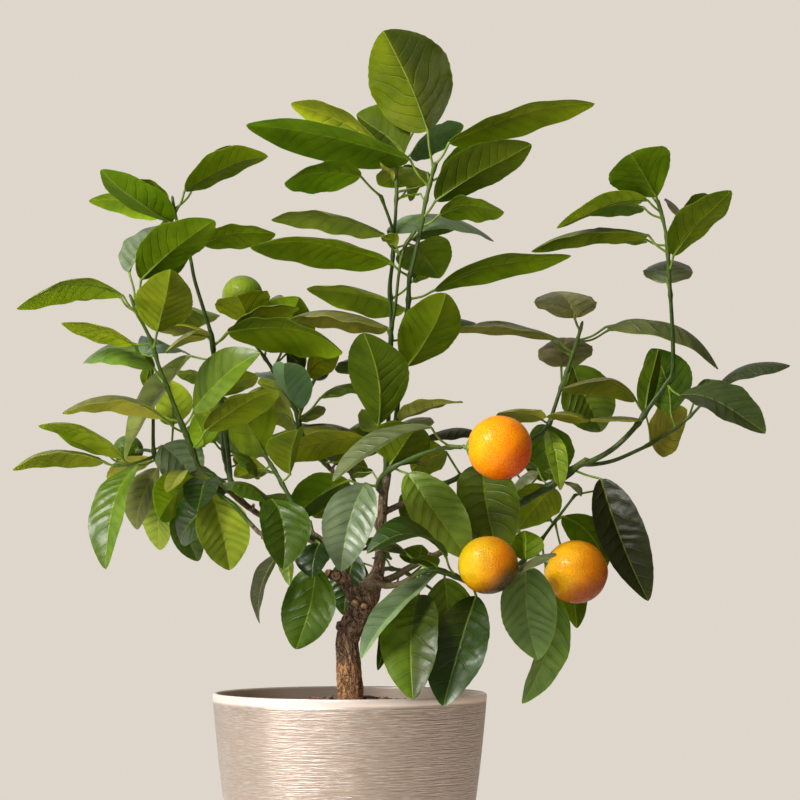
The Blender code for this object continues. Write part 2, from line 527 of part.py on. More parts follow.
def leaf_faces(sizes):
    """Triangles that join rings of 3, then 6, and at last 2 points, alike on both faces."""
    starts = [sum(sizes[:index]) for index in range(len(sizes))]
    faces = [(0, 2, 1)] if sizes[0] == 3 else [(0, 1, 4), (0, 4, 5), (1, 2, 3), (1, 3, 4)]
    for index in range(len(sizes) - 1):
        a = starts[index]
        b = starts[index + 1]
        if sizes[index] == 3 and sizes[index + 1] == 3:
            for step in range(3):
                after = (step + 1) % 3
                faces.append((a + step, a + after, b + after))
                faces.append((a + step, b + after, b + step))
        elif sizes[index] == 3:
            faces.append((a, b, b + 1))
            faces.append((a, b + 1, b + 2))
            faces.append((a, a + 1, b))
            faces.append((a, b + 2, a + 2))
            faces.append((a + 1, b + 5, b))
            faces.append((a + 1, b + 4, b + 5))
            faces.append((a + 1, a + 2, b + 4))
            faces.append((a + 2, b + 3, b + 4))
            faces.append((a + 2, b + 2, b + 3))
        elif sizes[index + 1] == 6:
            faces.append((a, b, a + 1))
            faces.append((a + 1, b, b + 1))
            faces.append((a + 1, b + 1, b + 2))
            faces.append((a + 1, b + 2, a + 2))
            faces.append((a + 5, a + 4, b + 5))
            faces.append((a + 4, b + 4, b + 5))
            faces.append((a + 4, b + 3, b + 4))
            faces.append((a + 4, a + 3, b + 3))
            faces.append((a, a + 5, b + 5))
            faces.append((a, b + 5, b))
            faces.append((a + 2, b + 2, b + 3))
            faces.append((a + 2, b + 3, a + 3))
        else:
            faces.append((a, b, a + 1))
            faces.append((a + 1, b, a + 2))
            faces.append((a + 4, b + 1, a + 5))
            faces.append((a + 4, a + 3, b + 1))
            faces.append((a, a + 5, b + 1))
            faces.append((a, b + 1, b))
            faces.append((a + 2, b, b + 1))
            faces.append((a + 2, b + 1, a + 3))
    return faces


def tube_faces(count, sides):
    faces = []
    for step in range(1, sides - 1):
        faces.append((0, step + 1, step))
        last = (count - 1) * sides
        faces.append((last, last + step, last + step + 1))
    for ring in range(count - 1):
        a = ring * sides
        b = a + sides
        for step in range(sides):
            after = (step + 1) % sides
            faces.append((a + step, a + after, b + after))
            faces.append((a + step, b + after, b + step))
    return faces


def flat(rings):
    return [point for ring in rings for point in ring]


class Solid:
    """A shape kept as points and triangles, with a tree to find what crosses it."""

    def __init__(self, points, faces):
        self.points = points
        self.faces = faces
        array = np.array(points)
        self.low = array.min(axis=0)
        self.high = array.max(axis=0)
        self.tree = BVHTree.FromPolygons([Vector(point) for point in points], faces)

    def crosses(self, other):
        if np.any(self.low > other.high) or np.any(other.low > self.high):
            return 0
        return len(self.tree.overlap(other.tree))


def grown(rings, extra):
    """The same rings, pushed out from their middles by extra millimetres."""
    pushed = []
    for ring in rings:
        middle = sum(ring) / len(ring)
        pushed.append([point + unit(point - middle) * extra for point in ring])
    return pushed


def thick_blade(rings, first, extra):
    """A blade made thicker by extra on both faces and longer at its edges, to test its clearance."""
    made = grown(rings[first:first + 1], extra)
    for ring in rings[first + 1:]:
        if len(ring) == 6:
            up = unit(ring[1] - ring[4]) * extra
            out = unit(ring[0] - ring[2]) * extra
            made.append([ring[0] + up + out, ring[1] + up, ring[2] + up - out, ring[3] - up - out,
                         ring[4] - up, ring[5] - up + out])
        else:
            up = unit(ring[0] - ring[1]) * extra
            tip = unit(ring[0] - rings[first + 1][1]) * extra
            made.append([ring[0] + up + tip, ring[1] - up + tip])
    return made


def blade_solid(rings, first, extra):
    made = thick_blade(rings, first, extra)
    sizes = [len(ring) for ring in made]
    return Solid(flat(made), leaf_faces(sizes))


def stalk_solid(rings, first, extra):
    made = grown(rings[:first + 1], extra)
    return Solid(flat(made), tube_faces(len(made), 3))


def root_on(stems, x, h):
    """Where a stalk leaves the nearest stem, as (x, h, depth), and how thick the stem is there."""
    best = None
    for stem, radii in stems:
        for index in range(len(stem) - 1):
            first = np.array(stem[index])
            second = np.array(stem[index + 1])
            run = second[:2] - first[:2]
            share = np.dot(np.array((x, h)) - first[:2], run) / max(np.dot(run, run), 1e-9)
            share = min(max(share, 0.0), 1.0)
            point = first + (second - first) * share
            distance = math.hypot(point[0] - x, point[1] - h)
            thick = radii[index] + (radii[index + 1] - radii[index]) * share
            if best is None or distance < best[0]:
                best = (distance, point, thick)
    return best[0], best[1], best[2]


def shoot_stems(data):
    """The main stem and twigs of a shoot, each as points with radii."""
    stem = data["stem"]
    thick, thin = data["thick"]
    last = len(stem) - 1
    radii = [thick + (thin - thick) * index / last for index in range(len(stem))]
    stems = [(stem, radii)]
    for twig in data.get("twigs", []):
        thinner = [max(thin, 0.9)] * len(twig)
        stems.append((twig, thinner))
    return stems


def stem_rings(stem, radii, sides=4):
    return tube_rings([seen(*point) for point in stem], radii, sides)


def cut_back(stem, radii, parents):
    """The stem with its root cut back to where it stands just clear of what it grows from."""
    first = np.array(stem[0], dtype=float)
    second = np.array(stem[1], dtype=float)
    span = np.linalg.norm(second - first)
    for step in range(int(span / 0.15)):
        start = first + (second - first) * (step * 0.15 / span)
        trial = [tuple(start)] + stem[1:]
        rings = grown(stem_rings(trial, radii), 0.02)
        solid = Solid(flat(rings), tube_faces(len(rings), 4))
        if not any(solid.crosses(parent) for parent in parents):
            return trial
    return stem


def all_stems():
    """Every shoot's stems with their roots cut back, and a solid of each to keep clear of."""
    wood = []
    for name in WOOD:
        points, faces = wood_solid(name, GAP)
        wood.append(Solid(points, faces))
    stems = {}
    for name, data in SHOOTS.items():
        mine = []
        for index, (stem, radii) in enumerate(shoot_stems(data)):
            if index == 0:
                stem = cut_back(stem, radii, wood)
            mine.append((stem, radii))
        stems[name] = mine
        for stem, radii in mine:
            rings = grown(stem_rings(stem, radii), GAP)
            wood.append(Solid(flat(rings), tube_faces(len(rings), 4)))
    return stems


def place_leaves(shoots, all_of_them, obstacles):
    """Every leaf with the bend in depth that keeps it clear of all the others."""
    placed = []
    stem_solids = {}
    for name, data in shoots.items():
        stems = all_of_them[name]
        solids = []
        for stem, radii in stems:
            rings = grown(stem_rings(stem, radii), CLEAR)
            solids.append(Solid(flat(rings), tube_faces(len(rings), 4)))
        for fruit in FRUITS.values():
            if fruit[3] == name:
                solids.append(Solid(*fruit_stalk(fruit, CLEAR)))
        stem_solids[name] = solids
        for order, spec in enumerate(data["leaves"]):
            away, root, thick = root_on(stems, spec[0], spec[1])
            placed.append({"shoot": name, "order": order, "spec": spec, "root": root, "away": away})
    options = (0, 7, -7, 14, -14, 21, -21, 30, -30, 42, -42, 56, -56)
    for leaf in placed:
        leaf["choices"] = []
        for deeper in options:
            far = leaf["root"][2] + leaf["spec"][6] > HIDDEN_DEPTH
            small = leaf["spec"][7] < 31 or far
            stations = (0.25, 0.7) if small else (0.2, 0.5, 0.8)
            rings, first = leaf_rings(leaf["root"], leaf["spec"], deeper, stations)
            leaf["choices"].append((deeper, rings, blade_solid(rings, first, CLEAR),
                                    stalk_solid(rings, first, CLEAR)))
        leaf["pick"] = 0

    def cost(leaf, pick):
        deeper, rings, blade, stalk = leaf["choices"][pick]
        total = abs(deeper) * 0.02
        for other in placed:
            if other is leaf:
                continue
            kind = 1.0 if other["shoot"] == leaf["shoot"] else 2.5
            theirs = other["choices"][other["pick"]]
            hits = blade.crosses(theirs[2]) + 0.5 * blade.crosses(theirs[3])
            hits += 0.5 * stalk.crosses(theirs[2])
            if kind > 2:
                hits += 0.5 * stalk.crosses(theirs[3])
            if hits:
                total += kind * (2 + hits)
        for name, solids in stem_solids.items():
            for solid in solids:
                hits = blade.crosses(solid)
                if name != leaf["shoot"]:
                    hits += stalk.crosses(solid)
                if hits:
                    total += (0.6 if name == leaf["shoot"] else 3.0) * (2 + hits)
        for solid in obstacles:
            hits = blade.crosses(solid) + stalk.crosses(solid)
            if hits:
                total += 4.0 * (2 + hits)
        return total

    for sweep in range(5):
        changed = 0
        for leaf in placed:
            now = cost(leaf, leaf["pick"])
            if now <= abs(leaf["choices"][leaf["pick"]][0]) * 0.02 and sweep:
                continue
            best = leaf["pick"]
            for pick in range(len(options)):
                if pick == leaf["pick"]:
                    continue
                price = cost(leaf, pick)
                if price < now - 1e-6:
                    now = price
                    best = pick
            if best != leaf["pick"]:
                leaf["pick"] = best
                changed += 1
            leaf["cost"] = now
        if not changed:
            break
    for leaf in placed:
        leaf["cost"] = cost(leaf, leaf["pick"])
        leaf["rings"] = leaf["choices"][leaf["pick"]][1]
        leaf["deeper"] = options[leaf["pick"]]
    return placed


def clear_scene():
    for thing in list(bpy.data.objects):
        bpy.data.objects.remove(thing)


def material(name, colour, roughness, metallic):
    made = bpy.data.materials.new(name)
    made.use_nodes = True
    shader = made.node_tree.nodes["Principled BSDF"]
    shader.inputs["Base Color"].default_value = (*colour, 1.0)
    shader.inputs["Roughness"].default_value = roughness
    shader.inputs["Metallic"].default_value = metallic
    made.diffuse_color = (*colour, 1.0)
    return made


def mesh_object(name, points, faces, look=None):
    built = bmesh.new()
    verts = [built.verts.new(np.array(point) * MM) for point in points]
    for face in faces:
        built.faces.new([verts[index] for index in face])
    bmesh.ops.recalc_face_normals(built, faces=built.faces)
    mesh = bpy.data.meshes.new(name)
    built.to_mesh(mesh)
    built.free()
    if look:
        mesh.materials.append(look)
    thing = bpy.data.objects.new(name, mesh)
    bpy.context.scene.collection.objects.link(thing)
    return thing


def is_closed(mesh):
    """Whether the mesh is one body with two faces on every edge."""
    built = bmesh.new()
    built.from_mesh(mesh)
    whole = all(len(edge.link_faces) == 2 for edge in built.edges)
    reached = set()
    built.verts.ensure_lookup_table()
    waiting = [built.verts[0]]
    while waiting:
        vert = waiting.pop()
        if vert.index in reached:
            continue
        reached.add(vert.index)
        waiting.extend(edge.other_vert(vert) for edge in vert.link_edges)
    whole = whole and len(reached) == len(built.verts)
    built.free()
    return whole


def fuse(body, pieces):
    """Unites the pieces with the body in one Boolean and removes them."""
    group = bpy.data.collections.new(body.name + "_pieces")
    bpy.context.scene.collection.children.link(group)
    for piece in pieces:
        bpy.context.scene.collection.objects.unlink(piece)
        group.objects.link(piece)
    union = body.modifiers.new("union", "BOOLEAN")
    union.operation = "UNION"
    union.operand_type = "COLLECTION"
    union.collection = group
    for solver in ("EXACT", "MANIFOLD"):
        union.solver = solver
        view = bpy.context.evaluated_depsgraph_get()
        fused = bpy.data.meshes.new_from_object(body.evaluated_get(view))
        if is_closed(fused):
            break
    body.modifiers.clear()
    body.data = fused
    for piece in pieces:
        bpy.data.objects.remove(piece)
    bpy.data.collections.remove(group)


def spun(name, profile, sides, look, shift=(0.0, 0.0)):
    """A closed turned body from (radius, height) points, whose ends lie on the axis."""
    built = bmesh.new()
    verts = [built.verts.new((radius * MM, 0.0, height * MM)) for radius, height in profile]
    edges = [built.edges.new((verts[index], verts[index + 1])) for index in range(len(verts) - 1)]
    bmesh.ops.spin(built, geom=verts + edges, cent=(0, 0, 0), axis=(0, 0, 1), angle=math.tau,
                   steps=sides, use_merge=True)
    bmesh.ops.remove_doubles(built, verts=built.verts, dist=1e-5)
    bmesh.ops.recalc_face_normals(built, faces=built.faces)
    bmesh.ops.translate(built, verts=built.verts, vec=(shift[0] * MM, shift[1] * MM, 0))
    mesh = bpy.data.meshes.new(name)
    built.to_mesh(mesh)
    built.free()
    mesh.materials.append(look)
    thing = bpy.data.objects.new(name, mesh)
    bpy.context.scene.collection.objects.link(thing)
    return thing


def pot_radius(down):
    return 91.3 - 0.0777 * down - 0.0004 * down * down


def inner_radius(down):
    """The inside of the wall, straight between the turned profile's inner points."""
    downs = (1.2, 85.0, POT_HEIGHT - FLOOR)
    return float(np.interp(down, downs, [pot_radius(point) - WALL for point in downs]))


def make_pot(look):
    profile = [(0.0, 0.0), (BASE_RADIUS - 1.2, 0.0), (BASE_RADIUS, 1.2)]
    for down in (135.0, 92.0, 50.0, 20.0, 5.0):
        profile.append((pot_radius(down), POT_HEIGHT - down))
    profile.append((RIM_RADIUS, POT_HEIGHT - 1.3))
    profile.append((RIM_RADIUS - 0.9, POT_HEIGHT))
    profile.append((RIM_RADIUS - WALL + 0.7, POT_HEIGHT))
    profile.append((inner_radius(1.2), POT_HEIGHT - 1.2))
    for down in (85.0, POT_HEIGHT - FLOOR):
        profile.append((inner_radius(down), POT_HEIGHT - down))
    profile.append((0.0, FLOOR))
    return spun("pot", profile, POT_SIDES, look)


def make_soil(look):
    """A mound with a plain hole for the trunk and crumbs as low relief."""
    draw = random.Random(5)
    built = bmesh.new()
    spread = (0.0, 0.16, 0.36, 0.58, 0.8, 1.0)
    rings = []
    flat_share = math.cos(math.pi / POT_SIDES)
    wall_radius = inner_radius(13.5) * flat_share - GAP
    for share in spread:
        ring = []
        for step in range(SOIL_SIDES):
            angle = math.tau * step / SOIL_SIDES
            radius = BOLE_HOLE + (wall_radius - BOLE_HOLE) * share
            height = POT_HEIGHT - 5.0 - 8.5 * share ** 1.4
            if 0.0 < share < 1.0:
                height += draw.uniform(-1.6, 2.2)
                radius += draw.uniform(-2.0, 2.0)
            centre = 0.5 * (1 - share)
            ring.append(built.verts.new(((centre + radius * math.cos(angle)) * MM,
                                         radius * math.sin(angle) * MM, height * MM)))
        rings.append(ring)
    for down in (85.0, POT_HEIGHT - FLOOR - GAP):
        radius = inner_radius(down) * flat_share - GAP
        ring = [built.verts.new((radius * math.cos(math.tau * step / SOIL_SIDES) * MM,
                                 radius * math.sin(math.tau * step / SOIL_SIDES) * MM,
                                 (POT_HEIGHT - down) * MM)) for step in range(SOIL_SIDES)]
        rings.append(ring)
    for ring, after in zip(rings, rings[1:]):
        for step in range(SOIL_SIDES):
            beyond = (step + 1) % SOIL_SIDES
            built.faces.new((ring[step], ring[beyond], after[beyond], after[step]))
    socket = []
    for step in range(SOIL_SIDES):
        angle = math.tau * step / SOIL_SIDES
        socket.append(built.verts.new(((0.5 + BOLE_HOLE * math.cos(angle)) * MM,
                                       BOLE_HOLE * math.sin(angle) * MM,
                                       (POT_HEIGHT - 45.0) * MM)))
    for step in range(SOIL_SIDES):
        beyond = (step + 1) % SOIL_SIDES
        built.faces.new((rings[0][beyond], rings[0][step], socket[step], socket[beyond]))
    built.faces.new(list(reversed(socket)))
    built.faces.new(rings[-1])
    bmesh.ops.triangulate(built, faces=built.faces)
    bmesh.ops.recalc_face_normals(built, faces=built.faces)
    mesh = bpy.data.meshes.new("soil")
    built.to_mesh(mesh)
    built.free()
    mesh.materials.append(look)
    thing = bpy.data.objects.new("soil", mesh)
    bpy.context.scene.collection.objects.link(thing)
    return thing


def wood_solid(name, extra=0.0):
    line = WOOD[name]
    sides = 9 if name == "bole" else 5
    points = [seen(x, h, depth) for x, h, depth, radius in line]
    radii = [radius + extra for x, h, depth, radius in line]
    rings = tube_rings(points, radii, sides)
    return flat(rings), tube_faces(len(rings), sides)


def make_trunk(look):
    pieces = []
    for name in WOOD:
        points, faces = wood_solid(name)
        pieces.append(mesh_object("wood_" + name, points, faces, look))
    body = pieces[0]
    body.name = "trunk"
    fuse(body, pieces[1:])
    return body


def fruit_shape(centre, radius, flat_share, extra=0.0):
    middle = seen(*centre)
    points = [middle + np.array((0, 0, (radius + extra) * flat_share))]
    sides = FRUIT_SIDES if radius > 15 else FRUIT_SIDES - 4
    rings = FRUIT_RINGS if radius > 15 else FRUIT_RINGS - 2
    for ring in range(1, rings):
        polar = math.pi * ring / rings
        for step in range(sides):
            angle = math.tau * step / sides
            reach = (radius + extra) * math.sin(polar)
            points.append(middle + np.array((reach * math.cos(angle), reach * math.sin(angle),
                                             (radius + extra) * math.cos(polar) * flat_share)))
    points.append(middle - np.array((0, 0, (radius + extra) * flat_share)))
    faces = []
    last = len(points) - 1
    for step in range(sides):
        beyond = (step + 1) % sides
        faces.append((0, 1 + step, 1 + beyond))
        base = 1 + (rings - 2) * sides
        faces.append((last, base + beyond, base + step))
        for ring in range(rings - 2):
            a = 1 + ring * sides
            b = a + sides
            faces.append((a + step, b + step, b + beyond))
            faces.append((a + step, b + beyond, a + beyond))
    return points, faces


def fruit_stalk(fruit, extra=0.0):
    """A stalk from the shoot to just short of the fruit, ending in the calyx."""
    centre, radius, flat_share, shoot, root = fruit
    middle = seen(*centre)
    start = seen(*root)
    away = unit(start - middle)
    end = middle + away * (radius + GAP)
    rise = end + away * 2.2
    points = [start, rise, end + away * 0.9, end]
    radii = [1.2 + extra, 1.4 + extra, 3.0 + extra, 2.6 + extra]
    rings = tube_rings(points, radii, 5)
    return flat(rings), tube_faces(len(rings), 5)


def make_shoot(name, stems, placed, look):
    pieces = []
    for index, (stem, radii) in enumerate(stems):
        rings = stem_rings(stem, radii)
        pieces.append(mesh_object(name + str(index), flat(rings), tube_faces(len(rings), 4), look))
    for leaf in placed:
        if leaf["shoot"] != name:
            continue
        rings = leaf["rings"]
        faces = leaf_faces([len(ring) for ring in rings])
        pieces.append(mesh_object(name + "_leaf" + str(leaf["order"]), flat(rings), faces, look))
    for fruit_name, fruit in FRUITS.items():
        if fruit[3] == name:
            points, faces = fruit_stalk(fruit)
            pieces.append(mesh_object(name + "_" + fruit_name, points, faces, look))
    body = pieces[0]
    body.name = name
    fuse(body, pieces[1:])
    return body


def pot_obstacle():
    points = []
    faces = []
    for height, radius in ((POT_HEIGHT - 60, pot_radius(60)), (POT_HEIGHT + 0.2, RIM_RADIUS)):
        for step in range(POT_SIDES):
            angle = math.tau * step / POT_SIDES
            points.append(np.array(((radius + 0.8) * math.cos(angle), (radius + 0.8) * math.sin(angle),
                                    height)))
    for step in range(POT_SIDES):
        beyond = (step + 1) % POT_SIDES
        faces.append((step, beyond, POT_SIDES + beyond))
        faces.append((step, POT_SIDES + beyond, POT_SIDES + step))
    points.append(np.array((0.0, 0.0, POT_HEIGHT + 0.2)))
    for step in range(POT_SIDES):
        faces.append((POT_SIDES + step, POT_SIDES + (step + 1) % POT_SIDES, len(points) - 1))
    return Solid(points, faces)


def obstacles_for_leaves():
    solids = [pot_obstacle()]
    for name in WOOD:
        points, faces = wood_solid(name, CLEAR)
        solids.append(Solid(points, faces))
    for centre, radius, flat_share, shoot, root in FRUITS.values():
        points, faces = fruit_shape(centre, radius, flat_share, CLEAR)
        solids.append(Solid(points, faces))
    return solids


def build():
    clear_scene()
    brushed = material("brushed metal", (0.62, 0.50, 0.43), 0.38, 0.9)
    earth = material("potting soil", (0.10, 0.05, 0.03), 0.95, 0.0)
    bark = material("bark", (0.12, 0.08, 0.055), 0.85, 0.0)
    green = material("citrus leaf", (0.07, 0.16, 0.035), 0.4, 0.0)
    orange = material("ripe rind", (0.85, 0.27, 0.01), 0.4, 0.0)
    unripe = material("unripe rind", (0.22, 0.32, 0.03), 0.4, 0.0)
    make_pot(brushed)
    make_soil(earth)
    make_trunk(bark)
    stems = all_stems()
    placed = place_leaves(SHOOTS, stems, obstacles_for_leaves())
    for name in SHOOTS:
        make_shoot(name, stems[name], placed, green)
    for name, fruit in FRUITS.items():
        points, faces = fruit_shape(fruit[0], fruit[1], fruit[2])
        mesh_object(name, points, faces, orange if name.startswith("mandarin") else unripe)
    return placed


PLACED = build()
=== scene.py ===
import json
import math
import random

import bmesh
import bpy
import numpy as np
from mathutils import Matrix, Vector, noise
from mathutils.kdtree import KDTree

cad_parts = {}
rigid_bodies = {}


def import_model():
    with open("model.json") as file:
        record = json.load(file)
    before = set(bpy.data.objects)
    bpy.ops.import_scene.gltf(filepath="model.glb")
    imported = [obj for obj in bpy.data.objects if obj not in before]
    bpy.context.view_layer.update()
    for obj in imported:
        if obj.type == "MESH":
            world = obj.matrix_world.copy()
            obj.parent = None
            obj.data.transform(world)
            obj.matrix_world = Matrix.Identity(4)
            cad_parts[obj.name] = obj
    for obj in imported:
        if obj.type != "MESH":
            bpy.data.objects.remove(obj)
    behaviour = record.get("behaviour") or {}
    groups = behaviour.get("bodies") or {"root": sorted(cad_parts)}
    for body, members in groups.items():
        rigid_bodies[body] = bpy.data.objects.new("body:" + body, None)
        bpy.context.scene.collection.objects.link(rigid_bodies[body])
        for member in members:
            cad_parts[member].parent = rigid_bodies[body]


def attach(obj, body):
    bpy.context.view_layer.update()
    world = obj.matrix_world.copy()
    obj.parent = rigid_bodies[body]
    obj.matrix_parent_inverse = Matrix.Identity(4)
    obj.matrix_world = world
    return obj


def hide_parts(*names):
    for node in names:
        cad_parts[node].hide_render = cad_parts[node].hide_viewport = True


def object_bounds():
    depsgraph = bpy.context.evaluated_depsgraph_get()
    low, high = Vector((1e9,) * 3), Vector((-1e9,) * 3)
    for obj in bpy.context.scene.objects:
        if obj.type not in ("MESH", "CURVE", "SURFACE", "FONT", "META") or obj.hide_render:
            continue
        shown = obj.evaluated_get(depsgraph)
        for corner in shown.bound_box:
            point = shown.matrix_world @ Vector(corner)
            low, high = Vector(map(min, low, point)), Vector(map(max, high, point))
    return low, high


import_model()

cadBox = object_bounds()
boxLow = np.array(cadBox[0]) * 1000 + 0.05
boxHigh = np.array(cadBox[1]) * 1000 - 0.05

# Overall measures in millimetres, the same as in the CAD.
mm = 0.001
potHeight = 170.0
rimRadius = 91.0
baseRadius = 66.5
wallThick = 3.3
eyePoint = np.array((33.3, -2000.0, 100.0))
hiddenDepth = 52.0

# Camera at the photograph's viewpoint, plain studio light and a plain pale floor.
studio = {
    "cameraPlace": (0.0333, -2.0, 0.270),
    "cameraAim": (0.0333, 0.0, 0.3645),
    "lens": 135.0,
    "backdrop": (0.735, 0.675, 0.60),
    "fill": 0.78,
    "keyPower": 66.0,
    "keyColour": (1.0, 0.965, 0.91),
    "frontPower": 17.0,
    "sidePower": 17.0,
    "darkFront": 0.38,
    "rimPower": 16.0,
    "floorRadius": 1.0,
}


def makeCamera():
    data = bpy.data.cameras.new("camera")
    data.lens = studio["lens"]
    data.sensor_width = 36.0
    data.clip_start = 0.01
    thing = bpy.data.objects.new("camera", data)
    bpy.context.scene.collection.objects.link(thing)
    thing.location = studio["cameraPlace"]
    aim = Vector(studio["cameraAim"]) - Vector(studio["cameraPlace"])
    thing.rotation_euler = aim.to_track_quat("-Z", "Y").to_euler()
    bpy.context.scene.camera = thing


def makeLight(name, place, aim, size, power, colour):
    data = bpy.data.lights.new(name, "AREA")
    data.shape = "RECTANGLE"
    data.size = size[0]
    data.size_y = size[1]
    data.energy = power
    data.color = colour
    thing = bpy.data.objects.new(name, data)
    bpy.context.scene.collection.objects.link(thing)
    thing.location = place
    thing.rotation_euler = (Vector(aim) - Vector(place)).to_track_quat("-Z", "Y").to_euler()
    return thing


def makeStudio():
    scene = bpy.context.scene
    scene.view_settings.view_transform = "Standard"
    scene.view_settings.look = "None"
    world = bpy.data.worlds.new("studio")
    scene.world = world
    world.use_nodes = True
    tree = world.node_tree
    tree.nodes.clear()
    out = tree.nodes.new("ShaderNodeOutputWorld")
    shown = tree.nodes.new("ShaderNodeBackground")
    shown.inputs[0].default_value = (*studio["backdrop"], 1)
    shown.inputs[1].default_value = 1.0
    lit = tree.nodes.new("ShaderNodeBackground")
    lit.inputs[1].default_value = studio["fill"]
    place = tree.nodes.new("ShaderNodeTexCoord")
    split = tree.nodes.new("ShaderNodeSeparateXYZ")
    tree.links.new(place.outputs["Generated"], split.inputs[0])
    ramp = tree.nodes.new("ShaderNodeValToRGB")
    ramp.color_ramp.elements[0].position = 0.30
    ramp.color_ramp.elements[0].color = (0.66, 0.60, 0.52, 1)
    ramp.color_ramp.elements[1].position = 0.85
    ramp.color_ramp.elements[1].color = (1.0, 1.0, 1.0, 1)
    height = tree.nodes.new("ShaderNodeMapRange")
    height.inputs[1].default_value = -1.0
    height.inputs[2].default_value = 1.0
    tree.links.new(split.outputs[2], height.inputs[0])
    tree.links.new(height.outputs[0], ramp.inputs[0])
    sideways = tree.nodes.new("ShaderNodeMapRange")
    sideways.interpolation_type = "SMOOTHSTEP"
    sideways.inputs[1].default_value = -0.7
    sideways.inputs[2].default_value = 0.75
    sideways.inputs[3].default_value = 0.0
    sideways.inputs[4].default_value = 1.0
    tree.links.new(split.outputs[0], sideways.inputs[0])
    darker = tree.nodes.new("ShaderNodeMix")
    darker.data_type = "RGBA"
    darker.blend_type = "MULTIPLY"
    darker.inputs[7].default_value = (0.34, 0.27, 0.21, 1)
    tree.links.new(sideways.outputs[0], darker.inputs[0])
    tree.links.new(ramp.outputs[0], darker.inputs[6])
    front = tree.nodes.new("ShaderNodeMapRange")
    front.interpolation_type = "SMOOTHSTEP"
    front.inputs[1].default_value = -0.95
    front.inputs[2].default_value = 0.15
    front.inputs[3].default_value = studio["darkFront"]
    front.inputs[4].default_value = 1.0
    tree.links.new(split.outputs[1], front.inputs[0])
    shaded = tree.nodes.new("ShaderNodeVectorMath")
    shaded.operation = "SCALE"
    tree.links.new(darker.outputs[2], shaded.inputs[0])
    tree.links.new(front.outputs[0], shaded.inputs["Scale"])
    tree.links.new(shaded.outputs[0], lit.inputs[0])
    path = tree.nodes.new("ShaderNodeLightPath")
    mix = tree.nodes.new("ShaderNodeMixShader")
    tree.links.new(path.outputs["Is Camera Ray"], mix.inputs[0])
    tree.links.new(lit.outputs[0], mix.inputs[1])
    tree.links.new(shown.outputs[0], mix.inputs[2])
    tree.links.new(mix.outputs[0], out.inputs[0])
    aim = (0.02, 0.0, 0.34)
    makeLight("key", (-1.25, -1.15, 1.65), aim, (0.6, 0.6), studio["keyPower"], studio["keyColour"])
    front = makeLight("front", (0.2, -2.4, 0.15), aim, (1.6, 0.8), studio["frontPower"], (1.0, 0.98, 0.92))
    front.visible_glossy = False
    side = makeLight("side", (-1.25, -0.75, 0.20), (-0.02, 0.0, 0.32), (0.9, 0.9), studio["sidePower"], (1.0, 0.97, 0.90))
    side.visible_glossy = False
    back = makeLight("back", (0.9, 1.5, 1.3), aim, (1.3, 1.3), studio["rimPower"], (1.0, 0.98, 0.95))
    back.visible_glossy = False


def makeFloor():
    """A plain pale disc that fades out, so that its edge shows in no view."""
    built = bmesh.new()
    bmesh.ops.create_circle(built, cap_ends=True, segments=96, radius=studio["floorRadius"])
    mesh = bpy.data.meshes.new("floor")
    built.to_mesh(mesh)
    built.free()
    thing = bpy.data.objects.new("floor", mesh)
    bpy.context.scene.collection.objects.link(thing)
    look = bpy.data.materials.new("floorPale")
    look.use_nodes = True
    tree = look.node_tree
    shader = tree.nodes["Principled BSDF"]
    tone = tree.nodes.new("ShaderNodeMix")
    tone.data_type = "RGBA"
    tone.inputs[6].default_value = (0.80, 0.735, 0.66, 1)
    tone.inputs[7].default_value = (0.56, 0.52, 0.475, 1)
    path = tree.nodes.new("ShaderNodeLightPath")
    tree.links.new(path.outputs["Is Camera Ray"], tone.inputs[0])
    tree.links.new(tone.outputs[2], shader.inputs["Base Color"])
    shader.inputs["Roughness"].default_value = 0.85
    place = tree.nodes.new("ShaderNodeTexCoord")
    length = tree.nodes.new("ShaderNodeVectorMath")
    length.operation = "LENGTH"
    fade = tree.nodes.new("ShaderNodeMapRange")
    fade.interpolation_type = "SMOOTHSTEP"
    fade.inputs[1].default_value = 0.42
    fade.inputs[2].default_value = 0.98
    fade.inputs[3].default_value = 1.0
    fade.inputs[4].default_value = 0.0
    tree.links.new(place.outputs["Object"], length.inputs[0])
    tree.links.new(length.outputs["Value"], fade.inputs[0])
    tree.links.new(fade.outputs[0], shader.inputs["Alpha"])
    mesh.materials.append(look)


makeCamera()
makeStudio()
makeFloor()
print("studio ready")


